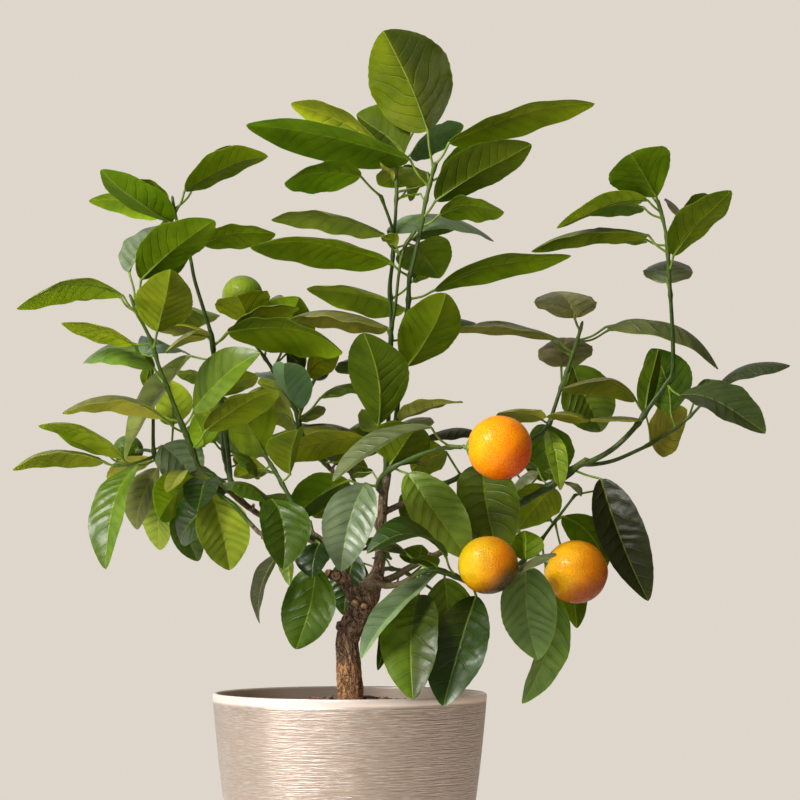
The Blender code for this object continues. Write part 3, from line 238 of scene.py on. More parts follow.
# Short names for the node trees of the materials.
class Look:
    def __init__(self, name):
        self.made = bpy.data.materials.new(name)
        self.made.use_nodes = True
        self.tree = self.made.node_tree
        self.shader = self.tree.nodes["Principled BSDF"]

    def put(self, node, index, value):
        if isinstance(value, bpy.types.NodeSocket):
            self.tree.links.new(value, node.inputs[index])
        elif value is not None:
            socket = node.inputs[index]
            if isinstance(value, tuple) and socket.type == "RGBA" and len(value) == 3:
                value = (*value, 1.0)
            socket.default_value = value

    def attribute(self, name, part="Vector"):
        node = self.tree.nodes.new("ShaderNodeAttribute")
        node.attribute_name = name
        return node.outputs[part]

    def split(self, vector):
        node = self.tree.nodes.new("ShaderNodeSeparateXYZ")
        self.put(node, 0, vector)
        return node.outputs[0], node.outputs[1], node.outputs[2]

    def join(self, x, y, z):
        node = self.tree.nodes.new("ShaderNodeCombineXYZ")
        self.put(node, 0, x)
        self.put(node, 1, y)
        self.put(node, 2, z)
        return node.outputs[0]

    def math(self, operation, a, b=None, c=None, clamp=False):
        node = self.tree.nodes.new("ShaderNodeMath")
        node.operation = operation
        node.use_clamp = clamp
        self.put(node, 0, a)
        self.put(node, 1, b)
        self.put(node, 2, c)
        return node.outputs[0]

    def vector(self, operation, a, b=None, scale=None):
        node = self.tree.nodes.new("ShaderNodeVectorMath")
        node.operation = operation
        self.put(node, 0, a)
        self.put(node, 1, b)
        if scale is not None:
            self.put(node, 3, scale)
        return node.outputs["Value"] if operation in ("LENGTH", "DOT_PRODUCT") else node.outputs[0]

    def ramp(self, value, low, high, first=0.0, last=1.0, smooth=True):
        node = self.tree.nodes.new("ShaderNodeMapRange")
        node.interpolation_type = "SMOOTHSTEP" if smooth else "LINEAR"
        self.put(node, 0, value)
        self.put(node, 1, low)
        self.put(node, 2, high)
        self.put(node, 3, first)
        self.put(node, 4, last)
        return node.outputs[0]

    def noise(self, place, scale, detail=2.0, rough=0.5, part="Fac"):
        node = self.tree.nodes.new("ShaderNodeTexNoise")
        self.put(node, "Vector", place)
        self.put(node, "Scale", scale)
        self.put(node, "Detail", detail)
        self.put(node, "Roughness", rough)
        return node.outputs[part]

    def cells(self, place, scale, feature="F1", part="Distance", random=1.0):
        node = self.tree.nodes.new("ShaderNodeTexVoronoi")
        node.feature = feature
        self.put(node, "Vector", place)
        self.put(node, "Scale", scale)
        self.put(node, "Randomness", random)
        return node.outputs[part]

    def mix(self, share, a, b, kind="MIX"):
        node = self.tree.nodes.new("ShaderNodeMix")
        node.data_type = "RGBA"
        node.blend_type = kind
        self.put(node, 0, share)
        self.put(node, 6, a)
        self.put(node, 7, b)
        return node.outputs[2]

    def bump(self, height, distance, strength=1.0, normal=None):
        node = self.tree.nodes.new("ShaderNodeBump")
        self.put(node, "Strength", strength)
        self.put(node, "Distance", distance)
        self.put(node, "Height", height)
        self.put(node, "Normal", normal)
        return node.outputs[0]

    def set(self, name, value):
        self.put(self.shader, name, value)


def seen(x, h, depth):
    """The point, in millimetres, on the sight line through (x, h) at this depth."""
    aim = np.array((x, 0.0, h))
    point = eyePoint + (aim - eyePoint) * (depth - eyePoint[1]) / -eyePoint[1]
    point[2] += potHeight
    return point


def unit(vector):
    return vector / max(np.linalg.norm(vector), 1e-9)


def smooth(points, parts):
    """A smooth curve through rows of numbers, with this many steps between two rows."""
    rows = np.array(points, dtype=float)
    padded = np.vstack((2 * rows[0] - rows[1], rows, 2 * rows[-1] - rows[-2]))
    made = []
    for index in range(1, len(rows)):
        a, b, c, d = padded[index - 1:index + 3]
        for step in range(parts):
            t = step / parts
            made.append(0.5 * (2 * b + (c - a) * t + (2 * a - 5 * b + 4 * c - d) * t * t
                               + (3 * b - a - 3 * c + d) * t ** 3))
    made.append(rows[-1])
    return np.array(made)


class Pieces:
    """Points, faces and their attributes gathered for one mesh."""

    def __init__(self):
        self.points = []
        self.faces = []
        self.place = []
        self.share = []
        self.tint = []
        self.slots = []
        self.sharp = []
        self.count = 0

    def add(self, points, faces, place, share, tint, slot=0):
        base = self.count
        self.points.append(np.asarray(points, dtype=float))
        self.count += len(points)
        self.faces.extend([tuple(index + base for index in face) for face in faces])
        self.place.append(np.asarray(place, dtype=float))
        self.share.append(np.asarray(share, dtype=float))
        tints = np.asarray(tint, dtype=float)
        if tints.ndim == 1:
            tints = np.tile(tints, (len(points), 1))
        if tints.shape[1] == 3:
            tints = np.hstack((tints, np.ones((len(tints), 1))))
        self.tint.append(tints)
        self.slots.extend([slot] * len(faces))
        return base

    def build(self, name, looks):
        mesh = bpy.data.meshes.new(name)
        points = np.vstack(self.points)
        mesh.from_pydata((points * mm).tolist(), [], self.faces)
        for look in looks:
            mesh.materials.append(look)
        mesh.polygons.foreach_set("material_index", self.slots)
        mesh.polygons.foreach_set("use_smooth", [True] * len(mesh.polygons))
        for key, kind, rows in (("place", "FLOAT_VECTOR", self.place),
                                ("share", "FLOAT_VECTOR", self.share)):
            layer = mesh.attributes.new(key, kind, "POINT")
            layer.data.foreach_set("vector", np.vstack(rows).astype(np.float32).ravel())
        layer = mesh.attributes.new("tint", "FLOAT_COLOR", "POINT")
        layer.data.foreach_set("color", np.vstack(self.tint).astype(np.float32).ravel())
        mesh.update()
        thing = bpy.data.objects.new(name, mesh)
        bpy.context.scene.collection.objects.link(thing)
        return thing


def tube(points, radii, sides, around=None):
    """Rings round a curve, kept from twisting; returns points, faces and the outward directions."""
    points = np.asarray(points, dtype=float)
    count = len(points)
    side = None
    made = []
    normals = []
    for index in range(count):
        ahead = unit(points[min(index + 1, count - 1)] - points[max(index - 1, 0)])
        if side is None:
            side = np.cross(ahead, (0.0, 1.0, 0.0))
            if np.linalg.norm(side) < 0.2:
                side = np.cross(ahead, (1.0, 0.0, 0.0))
        side = unit(side - ahead * np.dot(side, ahead))
        up = np.cross(side, ahead)
        for step in range(sides):
            angle = math.tau * step / sides
            reach = radii[index] * (around(index, angle) if around else 1.0)
            out = math.cos(angle) * side + math.sin(angle) * up
            made.append(points[index] + out * reach)
            normals.append(out)
    faces = []
    for ring in range(count - 1):
        a = ring * sides
        b = a + sides
        for step in range(sides):
            beyond = (step + 1) % sides
            faces.append((a + step, b + step, b + beyond, a + beyond))
    faces.append(tuple(range(sides)))
    faces.append(tuple(reversed(range((count - 1) * sides, count * sides))))
    return np.array(made), faces, np.array(normals)


# Woody skeleton: centre lines as (x, h, depth, radius), seen from the front, h above the rim.
woodLines = {
    "bole": [(0.5, -44, 0, 9.6), (0.5, -14, 0, 9.4), (0.4, 1, 0, 8.9), (-1.0, 21, 0, 8.3),
             (-1.6, 34, 0, 7.7), (2.2, 45, 0, 8.9), (8.0, 56, 0, 8.9), (12.5, 67, 1, 8.2),
             (17.5, 77, 3, 5.2), (20.0, 88, 4, 3.9), (20.6, 104, 6, 3.6), (21.5, 120, 8, 3.4),
             (22.6, 133, 8, 3.2), (25.0, 146, 7, 3.0)],
    "left_fork": [(5, 62, 0, 6.0), (-2, 71, -2, 4.6), (-5, 81, -4, 3.8), (-10, 92, -6, 3.2),
                  (-20, 101, -6, 2.9), (-29, 108, -6, 2.4)],
    "left_spur": [(-3, 72, -3, 3.6), (-10, 77, -5, 3.0), (-15, 80, -6, 2.6)],
    "long_left": [(-14, 96, -6, 2.5), (-30, 103, 0, 2.3), (-46, 111, 5, 2.1), (-62, 119, 10, 2.0),
                  (-72, 126, 12, 1.9), (-80, 133, 13, 1.9)],
    "low_left": [(-22, 102, -6, 2.0), (-42, 103, -13, 1.8), (-58, 105, -17, 1.7), (-64, 109.5, -17, 1.6)],
    "back_left": [(20.8, 107, 6, 2.2), (8, 128, 20, 2.0), (-4, 140, 24, 1.8), (-13, 148, 24, 1.7)],
    "right_arm": [(14, 72, 2, 3.4), (27, 75.5, -3, 2.6), (40, 83, -6, 2.3), (52, 89, -6, 2.2),
                  (70, 97.5, 0, 2.1), (90, 111, 7, 2.1), (108, 121.5, 11, 2.1)],
    "upper_right": [(21.6, 119, 8, 2.4), (32, 124, 13, 2.1), (42, 129, 18, 2.0), (52, 133.5, 24, 1.9)],
    "low_right": [(15, 75, -2, 3.0), (23, 71, -12, 2.4), (33, 72, -22, 2.0), (41, 76, -30, 1.9)],
}

# Leafy shoots. stem: (x, h, depth). leaf: where it leaves the stem (x, h), foot of the blade (x, h),
# tip (x, h), how much deeper the tip lies, width, turn of the upper side from the viewer, arch, cup.
shootLayout = {
    "shoot_top_right": {
        "parent": "trunk",
        "stem": [(25.8, 146, 8.6), (28, 158, 10), (30.4, 178, 10), (32, 200, 8), (33.4, 220, 4), (36.5, 240, 0),
                 (38.8, 258, -2), (39.6, 275, -4), (43, 290, -5), (47, 308, -6), (50, 325, -8),
                 (54, 342, -8), (57, 353, -8)],
        "thick": (1.9, 1.2),
        "leaves": [
            (55.5, 349, 52, 375, 22, 444, 15, 60, 160, 3, 6, 1, 0.55, 1.05),
            (50, 338, 40, 356, -70, 379, -10, 44, 120, 2, -6, 4),
            (57, 352, 66, 367, 164, 393.5, -20, 40, 113, 7, -5),
            (51, 316, 57, 328, 121.5, 366, -25, 38, 138, 3, 5),
            (50, 310, 60, 319, 103, 320.5, 45, 34, 112, 6, -3),
            (53, 340, 52, 347, 20, 338, 45, 34, 110, 5, -3),
            (50, 328, 47, 333, 33, 329, 10, 9, 100, 1, 0),
            (40, 277, 27, 287, -67, 297, -25, 44, 112, 8, -7),
            (39.5, 262, 56, 268, 148, 291, 10, 36, 108, 7, -3),
            (38.5, 252, 36, 256, -29, 268.5, 44, 34, 112, 4, -6),
            (33, 205, 38, 217, 64, 266, -40, 40, 155, -3, 5, 2, 0.58, 1.08),
            (34, 226, 42, 238, 84, 246, 20, 30, 75, 5, -3),
            (30, 176, 33, 181, 75, 192.5, -40, 30, 100, 3, 3),
            (29, 166, 31, 176, 53, 177, 55, 30, 95, 5, -3),
        ],
    },
    "shoot_top_left": {
        "parent": "trunk",
        "stem": [(23.6, 146, 3.6), (24.6, 158, 2), (25.6, 178, 1), (26, 200, 0), (26.5, 218, -3), (27.2, 236, -5),
                 (27.3, 250, -6), (26, 268, -6), (28, 285, -5), (29, 300, -4), (30.5, 320, -2),
                 (31, 340, 0), (31, 352, 2)],
        "thick": (1.6, 1.0),
        "twigs": [[(27.3, 240, -5), (30, 256, -9), (32, 275, -10), (34.5, 291, -9), (38, 300, -7), (43, 307, -9)],
                  [(29.4, 305, -4), (26, 316, -8), (20.5, 331, -10)]],
        "leaves": [
            (31, 350, 22, 362, -40, 393, 42, 34, 120, 6, -4),
            (31, 352, 36, 359, 4, 386, 40, 40, 140, 4, 6),
            (31.5, 352, 40, 359, 76, 378, 30, 30, 118, 5, -4),
            (31, 340, 29, 342, 20, 354, -5, 7, 120, 1, 0),
            (20.5, 331, 7, 344.5, -44, 340, -40, 34, 118, 6, -4),
            (34, 291, 22, 306, -53, 315, 5, 34, 108, 7, -4),
            (29, 302, 25, 307, 96, 301, 34, 36, 65, 14, -4),
            (34, 290, 31, 297, 21, 304, -8, 12, 130, 2, 2),
            (38, 300, 42, 298, 60, 276, 55, 38, 150, 4, 3),
            (27.5, 236, 25, 243, -40, 249, 15, 36, 101, 8, -9),
            (25.3, 168, 19, 178, 9, 239.5, -30, 41, 162, -3, 4, 6, 0.6, 1.25),
            (25.4, 170, 22, 175, 8, 174, 60, 28, 120, 4, 3),
            (24.8, 160, 9, 169.5, -53, 169.5, 42, 30, 104, 8, -5),
            (24.4, 156, 9, 168.5, -51, 156, -14, 36, 122, 5, -3),
        ],
    },
    "shoot_left_high": {
        "parent": "trunk",
        "stem": [(-79.5, 132.5, 13), (-80, 146, 34), (-82, 166, 44), (-85, 188, 38), (-89, 207, 18), (-91, 222, 4),
                 (-93, 238, -5), (-98, 255, -9), (-104, 275, -12), (-107, 290, -14),
                 (-112, 304, -15), (-117, 318, -16), (-119, 330, -16)],
        "thick": (1.8, 1.0),
        "leaves": [
            (-113, 306, -119, 314, -167, 349, -30, 36, 125, -3, 4),
            (-112, 303, -123, 321, -175, 327.5, 42, 24, 118, 4, -4),
            (-117, 320, -111, 335, -55, 358, 20, 34, 118, 5, 3),
            (-108, 292.5, -99, 299, -50, 306, -10, 29, 120, 5, -3),
            (-93.5, 239, -95, 250, -118, 237, 45, 34, 120, 10, 0),
            (-92.5, 234, -98, 241, -126, 239.5, 50, 24, 96, 3, -2),
            (-92, 232, -95, 237, -123, 227, -30, 26, 100, 6, -3),
            (-91.5, 230, -82, 240, -5, 226.5, -28, 42, 118, 13, -7, 3),
            (-91.3, 221, -107, 224, -150, 152, 22, 28, 60, 6, 5),
            (-85.5, 190, -89, 197, -62, 211, -14, 30, 125, 3, 3),
            (-112, 303.5, -122, 316, -156, 341, 50, 30, 125, 3, 3),
            (-118, 322, -104, 340, -66, 356, 55, 30, 120, 4, 3),
            (-91.8, 231, -80, 241, -34, 256, 50, 28, 110, 6, -4),
        ],
    },
    "shoot_left_outer": {
        "parent": "trunk",
        "stem": [(-80, 133, 13), (-88, 141, 14), (-95, 146, 15), (-101, 150, 14), (-103.5, 157, 12), (-109, 171, 6),
                 (-115, 185, 1), (-122, 203, -4), (-128, 218, -8), (-133, 234, -10), (-143, 254, -12),
                 (-147, 264, -12)],
        "thick": (1.9, 1.0),
        "leaves": [
            (-144, 257, -148, 280, -122, 313, 45, 32, 65, 4, 6),
            (-143, 255, -140, 275, -91, 315, -22, 40, 128, 3, 5),
            (-131, 229, -129, 240, -120, 282, -45, 38, 165, -3, 4),
            (-142, 251, -152, 264.5, -223, 255.5, -15, 29, 112, 13, -5),
            (-134, 232, -145, 232, -193, 246, 30, 28, 110, 3, -3),
            (-123, 204, -131, 216, -178, 219.5, 15, 38, 68, 14, -6),
            (-131, 224, -138, 225, -111, 226, 55, 32, 62, 6, 0),
            (-110, 172, -125, 183, -192, 186, -25, 31, 105, 13, -7),
            (-110.5, 177, -104, 188, -60, 226, -38, 36, 42, 5, 5),
            (-105, 162, -96, 174.5, -48, 201, -45, 33, 122, 4, -3),
            (-104, 160, -97, 164, -104, 184.5, 45, 24, 160, 3, 3),
            (-92, 144, -95, 141, -102, 120.5, -45, 24, 15, 3, 4),
            (-86, 139, -82, 139, -57, 127, -24, 28, 68, 5, -4),
            (-143, 253, -154, 264, -205, 262, 50, 26, 108, 8, -4),
            (-113, 180, -128, 186, -176, 190, 55, 28, 105, 6, -4),
            (-143, 255.5, -132, 276, -100, 306, 60, 34, 130, 3, 4),
        ],
    },
    "shoot_left_mid": {
        "parent": "shoot_left_outer",
        "stem": [(-99, 148.5, 14), (-108, 143, 30), (-119, 145, 36), (-127, 152, 38), (-131, 160, 38), (-131.5, 184, 38),
                 (-132, 208, 38), (-134, 222, 38)],
        "thick": (1.6, 0.9),
        "twigs": [[(-130, 157, 38), (-145, 152, 34), (-157, 150.5, 32)]],
        "leaves": [
            (-147, 151.5, -152, 156, -208, 177.5, -25, 26, 118, 9, -4),
            (-156, 150.5, -164, 153.5, -225, 148, -15, 27, 108, 10, -6),
            (-130.5, 158, -133, 156, -162, 142, -20, 20, 128, 2, 0),
            (-129, 155, -142, 151, -162.5, 81.5, -45, 33, 40, 10, 5),
            (-124, 149, -128, 149, -142, 108, 6, 25, 30, 6, 5),
            (-130.8, 161, -125.5, 164, -103, 138, -10, 36, 25, 6, 3),
            (-117, 144.5, -124, 139, -127, 94.5, 30, 26, 30, 4, 3),
            (-117.5, 145, -118, 178, -121, 208, 20, 28, 165, 2, 3),
            (-134, 221, -134, 219, -136, 202, -8, 10, 150, 1, 1),
            (-106, 144, -109, 147, -122, 133, -30, 13, 30, 2, 2),
            (-104, 145, -104, 143, -127, 115, -30, 32, 140, 4, 5),
            (-110, 143.5, -113, 131, -101, 87, 20, 22, 10, 4, 3, -3),
            (-150, 151, -162, 159, -196, 173, 50, 24, 118, 4, -3),
            (-156, 150.5, -168, 156, -212, 155, 50, 24, 105, 5, -4),
        ],
    },
    "shoot_left_centre": {
        "parent": "trunk",
        "stem": [(-13, 148, 24), (-20, 156, 23), (-26.5, 164, 22), (-33, 174, 20), (-36, 187, 18), (-43, 200, 16),
                 (-51, 214, 14), (-60, 227, 14), (-66, 235, 14), (-70, 244, 15), (-71.5, 250, 18)],
        "thick": (1.6, 0.9),
        "leaves": [
            (-66, 236, -68, 247, -76, 264, -50, 38, 165, 3, 5),
            (-51.5, 215, -43, 234, -34, 263.5, 40, 42, 155, 3, 4),
            (-57, 223, -57, 240, -50, 264, 55, 26, 40, 3, 2),
            (-33.5, 181, -33, 188, -44, 219, -35, 27, 150, -2, 12, -4),
            (-34, 182, -20, 196, 25, 206, 25, 30, 75, 4, -4),
            (-51, 214, -42, 226, -31.5, 212, 25, 22, 40, 3, 0),
            (-35, 184, -28.5, 211, -7, 228, 22, 26, 125, 3, -2),
            (-37, 189, -41, 194, -62, 206, 35, 25, 130, 4, 3),
            (-43, 200, -45, 207, -62, 213, 50, 28, 70, 3, -3),
            (-33.5, 177, -37, 178, -60, 190, 25, 34, 120, 4, 0),
            (-33.5, 179, -31, 183, -18, 184.5, 55, 18, 112, 2, 0),
            (-18, 153, -10, 153, 12, 149, 30, 24, 140, 2, 2),
            (-24, 161, -20, 160, 2, 152, 25, 24, 70, 3, -3),
        ],
    },
    "shoot_left_inner": {
        "parent": "trunk",
        "stem": [(-29, 108, -6), (-35, 120, -5), (-42, 133, -4), (-50, 147, 0), (-57, 158, 2)],
        "thick": (1.7, 1.1),
        "leaves": [
            (-56.5, 157, -58, 161, -82, 196, 25, 44, 152, 3, 6),
            (-46, 140, -40, 145, -35, 174, -50, 27, 140, 3, 10),
            (-49.5, 146, -54, 146.5, -77, 143, 10, 22, 125, 3, 3),
            (-53, 151, -61, 145, -78, 158, -14, 24, 70, 3, -2),
            (-45, 138, -40, 131, -52, 112, 30, 30, 150, 3, 3),
        ],
    },
    "shoot_left_low": {
        "parent": "trunk",
        "stem": [(-64, 109.5, -17), (-70, 116, -16), (-77, 124, -14), (-85, 130, -11), (-92, 134.5, -8)],
        "thick": (1.5, 1.1),
        "leaves": [
            (-91.5, 134, -92.5, 132, -80, 81, -25, 37, 20, 4, 4),
            (-85, 130, -89, 128, -113, 100, 40, 30, 35, 5, 4),
        ],
    },
    "shoot_front_left": {
        "parent": "trunk",
        "stem": [(-20, 101, -6), (-27, 103, -20), (-38, 111, -36), (-46, 120, -44), (-51, 126, -48)],
        "thick": (1.5, 1.1),
        "leaves": [
            (-50.5, 125, -52, 128, -44.5, 81.5, -22, 34, 18, 6, 6, 3),
            (-38, 111, -49, 101, -40, 71, 12, 14, -40, -4, 2),
            (-36, 110, -47, 92, -60, 45.5, 25, 20, 60, 6, 3),
            (-25, 102, -20, 99, -25, 76, -14, 26, 30, 3, 3),
            (-22.5, 101.5, -23, 84, -36, 28.5, 2, 37, 20, 5, 3, 5),
        ],
    },
    "shoot_middle": {
        "parent": "trunk",
        "stem": [(22.4, 131, 8), (19, 136, -7), (21, 143, -16), (28, 149, -22), (40, 155, -28), (50, 159, -34),
                 (60, 162, -40), (68, 163.2, -46), (74, 163, -50)],
        "thick": (1.7, 1.4),
        "leaves": [
            (67, 163, 54, 176.5, -11.5, 140, -40, 28, 62, 7, 4),
            (28, 149, 27, 152, 46, 177, -18, 40, 150, 2, 5),
            (29, 149.5, 32, 151, 53, 150, 30, 18, 80, 4, -2),
            (29, 149, 38, 145.5, 79, 88, -20, 36, 20, 5, 5, -2),
            (18.5, 136.5, 10, 139, -6, 80, -28, 35, 12, 6, 4, -2),
            (18.6, 137.5, -1, 141, -42, 113, 18, 32, 135, 4, 4),
            (19.5, 139, 15, 146.5, 0, 142, 18, 12, 60, 2, 0),
        ],
    },
    "shoot_right_inner": {
        "parent": "trunk",
        "stem": [(52, 133.5, 24), (64, 139, 28), (76, 144.5, 33), (90, 151.5, 38), (104, 159, 41), (120, 167.5, 42),
                 (131, 175, 42), (136, 188, 42), (141, 203, 42), (147, 220, 42), (152, 235, 42), (155, 246, 42)],
        "thick": (1.9, 1.0),
        "leaves": [
            (74, 144, 64, 160, 41, 147, -20, 34, 140, 3, 4),
            (98, 156, 88, 172, 48, 168, -25, 26, 78, 5, -4),
            (84, 148.5, 88, 150.5, 100, 88, -58, 42, 12, 3, 7, -3),
            (62, 138, 56, 134, 36, 112, -10, 30, 140, 3, 2),
            (131, 174, 131, 178, 133, 141, -3, 34, 150, 2, 4),
            (131.5, 177, 132, 174, 140, 134, -14, 15, 25, 3, 3),
            (132.5, 179, 128, 181.5, 99, 186, -45, 28, 108, 3, -3),
            (133, 181, 136, 182, 155, 182.5, -55, 26, 97, 3, -3),
            (148.5, 226, 139, 235.5, 62, 242, -10, 30, 100, 6, -4),
            (153.5, 241, 150, 249.5, 137, 267, 50, 44, 25, 6, -4),
            (141.5, 204, 141, 217, 146, 234, 50, 38, 20, 8, -6),
            (152, 234, 171, 243.5, 246, 215, 14, 32, 72, 18, -8),
            (145, 213, 149, 217, 168, 173.5, 15, 40, 20, 4, 4, -3),
            (152, 233, 172, 241, 222, 240, 55, 24, 78, 8, -4),
            (148, 224, 132, 238, 84, 245, 50, 22, 98, 4, -3),
        ],
    },
    "shoot_right_arm": {
        "parent": "trunk",
        "stem": [(108, 121.5, 11), (120, 129, 13), (135, 138, 15), (150, 149, 17), (158, 154.5, 18)],
        "thick": (2.3, 2.2),
        "leaves": [
            (149, 147.5, 167, 142, 198.5, 60.5, -28, 33, 15, 5, 8, -4),
            (140, 141, 136, 136, 112, 108, 14, 36, 150, 3, 3),
            (117, 128.5, 108, 135, 126, 146, -15, 16, 60, 3, -2),
            (132, 137.5, 125, 149, 100, 152, 12, 20, 80, 3, -3),
            (137, 140, 137, 145, 131, 148, 10, 10, 60, 1, 0),
            (143, 144, 142, 140, 154, 130, -10, 10, 60, 3, 0),
        ],
    },
    "shoot_right_high": {
        "parent": "shoot_right_arm",
        "stem": [(152, 150.5, 17.5), (164, 155, 18), (177, 163, 18), (190, 176, 19), (200, 190, 20), (208, 201, 20),
                 (215, 212, 20), (215.5, 230, 18), (215, 246, 16), (214, 265, 14), (213, 285, 12),
                 (212, 300, 11), (211, 308, 10), (208, 321, 9), (205.8, 328, 8)],
        "thick": (1.9, 1.0),
        "leaves": [
            (206, 327, 205, 330.5, 188, 360, -40, 45, 165, 3, 4, 0, 0.58, 1.2),
            (208, 320, 199, 328.5, 138, 309.5, -20, 25, 112, 5, 3),
            (211.8, 293, 199.5, 305, 121, 294, 10, 32, 104, 9, -6),
            (213.2, 281, 216, 291, 255, 335, -30, 36, 132, 3, 3),
            (211.5, 304, 220, 317, 214, 322, 55, 24, 60, 4, -3),
            (213.8, 266, 212, 273, 214, 288, 45, 34, 20, 5, -5),
            (196.5, 185.5, 191, 194, 141, 202, -18, 26, 110, 11, -6),
            (192.5, 179, 194, 181, 161, 182, -30, 22, 95, 2, -3),
            (211, 205.5, 220, 197.5, 277, 172, -35, 38, 45, 8, 5),
            (212.5, 292, 224, 306, 244, 328, 55, 30, 128, 3, 3),
            (209, 316, 196, 324, 152, 319, 50, 28, 108, 4, -2),
            (212, 298, 198, 302, 150, 301, 55, 28, 104, 6, -3),
            (207, 325, 200, 335, 186, 352, 45, 34, 150, 3, 3),
        ],
    },
    "shoot_right_side": {
        "parent": "shoot_right_arm",
        "stem": [(155, 151.5, 18), (163, 151.5, 22), (176, 154, 26), (190, 160, 29), (200, 165, 31), (215, 174, 32),
                 (225, 182, 32), (232, 189, 30), (238, 196, 26)],
        "thick": (1.5, 0.9),
        "leaves": [
            (217, 176, 214, 186, 201, 229, 22, 35, 160, 3, 5, 3, 0.6, 1.08),
            (201, 164.5, 197, 186, 206, 228.5, 2, 15, 160, 3, 3),
            (200.5, 164.5, 201, 166.5, 225, 188, 24, 36, 150, 2, 3, 4),
            (237, 195, 245, 204, 294, 217.5, -25, 30, 75, 8, -6),
            (226, 183, 230, 195, 262, 196, 25, 30, 60, 5, 3),
        ],
    },
    "shoot_low_right": {
        "parent": "trunk",
        "stem": [(41, 76, -30), (49, 80, -38), (58, 81, -43), (70, 77, -46), (80, 73, -45), (94, 74, -42),
                 (108, 81, -36), (120, 92, -25), (128, 102, -11), (137, 114, 3), (150, 131, 12)],
        "thick": (1.8, 0.9),
        "leaves": [
            (150, 131, 164, 134, 186, 92, 26, 26, 30, 5, 3),
            (137, 114, 142, 117, 171, 83, 6, 26, 155, 3, -2, -5),
            (115, 86.5, 117, 88, 116, 107.5, 30, 24, 160, 2, 2),
            (111, 83.5, 115, 84, 134, 89, -25, 24, 80, 2, -2),
            (112, 84, 117, 84, 125, 21.5, -34, 38, 10, 4, 5, -4),
            (128, 101, 136, 66, 114.5, -7.5, -5, 28, -35, 9, 6),
            (137, 113, 145, 86, 151, 42.5, 10, 20, 150, 2, 0),
            (71, 76.8, 64, 90, 11, 92, -35, 34, 66, 15, 5),
            (56, 81, 38, 92, 7, 94, 10, 18, 75, 7, -3),
            (58, 81, 58, 84, 41, 89, -20, 18, 120, 2, 0),
            (57, 81, 57, 79, 7.5, 22, -28, 23, 55, 5, 5),
            (48, 79.5, 45, 64.5, 42, -5, -53, 38, 10, 6, 6, -2, 0.52, 0.95),
            (47, 79, 38, 70, 18.5, 14.5, -4, 15, 140, 4, 0),
            (81, 73, 84, 64, 62, -9.5, -50, 40, 15, 4, 8, 0, 0.62, 1.12),
            (63, 79.5, 63, 76, 65, 32, 10, 34, 20, 3, 3),
        ],
    },
    "shoot_back_left": {
        "parent": "trunk",
        "stem": [(-62, 119.5, 12), (-72, 128, 40), (-80, 142, 64), (-84, 158, 84), (-86, 176, 100),
                 (-85, 196, 112), (-82, 210, 118)],
        "thick": (1.7, 0.9),
        "leaves": [
            (-80, 142, -88, 142, -114, 150, 24, 30, 112, 4, -3),
            (-84, 160, -90, 166, -108, 177, -14, 30, 125, 3, 3),
            (-84, 158, -76, 158, -50, 161, 20, 30, 112, 4, -2),
            (-82, 150, -76, 151, -62, 146, -26, 24, 112, 3, -2),
            (-78, 138, -82, 133, -98, 128, 20, 26, 60, 3, 0),
            (-85, 190, -74, 194, -46, 199, 26, 34, 102, 5, -4),
            (-84, 203, -95, 207, -117, 213, 10, 26, 105, 3, -3),
            (-82.5, 208, -84, 214, -68, 222, 36, 30, 60, 4, 3),
            (-86, 174, -92, 180, -100, 198, 34, 30, 150, 3, 3),
            (-83, 154, -80, 160, -72, 180, 40, 34, 150, 3, 3),
        ],
    },
    "shoot_back_centre": {
        "parent": "trunk",
        "stem": [(20.7, 105, 10.4), (14, 118, 36), (6, 134, 62), (-2, 150, 86), (-8, 162, 104), (-10, 172, 116)],
        "thick": (1.7, 0.9),
        "leaves": [
            (10, 126, 2, 124, -24, 116, 12, 34, 115, 4, -3),
            (6, 134, -5, 137, -32, 136, 30, 32, 105, 4, -3),
            (-3, 152, -14, 157, -38, 164, 14, 32, 112, 5, -3),
            (-2, 150, 6, 157, 20, 173, -16, 32, 150, 3, 3),
            (-9, 168, -4, 172, 12, 177, 22, 28, 100, 3, -3),
            (-9.5, 170, -18, 173, -40, 172, 38, 28, 104, 5, -3),
            (-6, 158, 4, 160, 30, 163, 30, 34, 80, 5, -3),
            (13, 120, 4, 116, -14, 100, 40, 30, 40, 4, 3),
            (14, 118, 3, 92, -4, 51, -10, 25, 20, 3, 2),
        ],
    },
    "shoot_back_right": {
        "parent": "trunk",
        "stem": [(90, 112, 9.6), (96, 117, 36), (103, 121, 60), (110, 124, 84), (115, 130, 104), (117, 140, 118)],
        "thick": (1.7, 0.9),
        "leaves": [
            (99, 119, 90, 114, 80, 98, 16, 36, 20, 4, 4),
            (107, 122.5, 118, 119, 132, 117, 20, 30, 70, 4, -3),
            (113, 127, 104, 136, 92, 148, 12, 34, 150, 3, 3),
            (116, 134, 124, 142, 132, 158, 6, 28, 155, 3, 3),
            (117, 139, 110, 147, 98, 160, 24, 34, 150, 3, 4),
            (104, 121.5, 104, 112, 103, 94, 30, 34, 20, 4, 4),
            (116.5, 137, 112, 132, 104, 112, 44, 34, 30, 4, 4),
        ],
    },
    "shoot_back_top": {
        "parent": "shoot_top_left",
        "stem": [(26, 203, -0.6), (26.5, 216, 26), (27.3, 236, 48), (27.6, 256, 66), (27, 272, 80),
                 (28.5, 288, 92), (29.5, 304, 102), (30.5, 322, 110), (31.5, 340, 114)],
        "thick": (1.6, 0.9),
        "leaves": [
            (26.6, 217, 16, 220, -4, 212, 22, 34, 108, 4, -3),
            (27.2, 234, 40, 238, 57, 246, 24, 32, 108, 3, -3),
            (27.5, 262, 42, 275, 58, 284, 16, 30, 120, 3, 3),
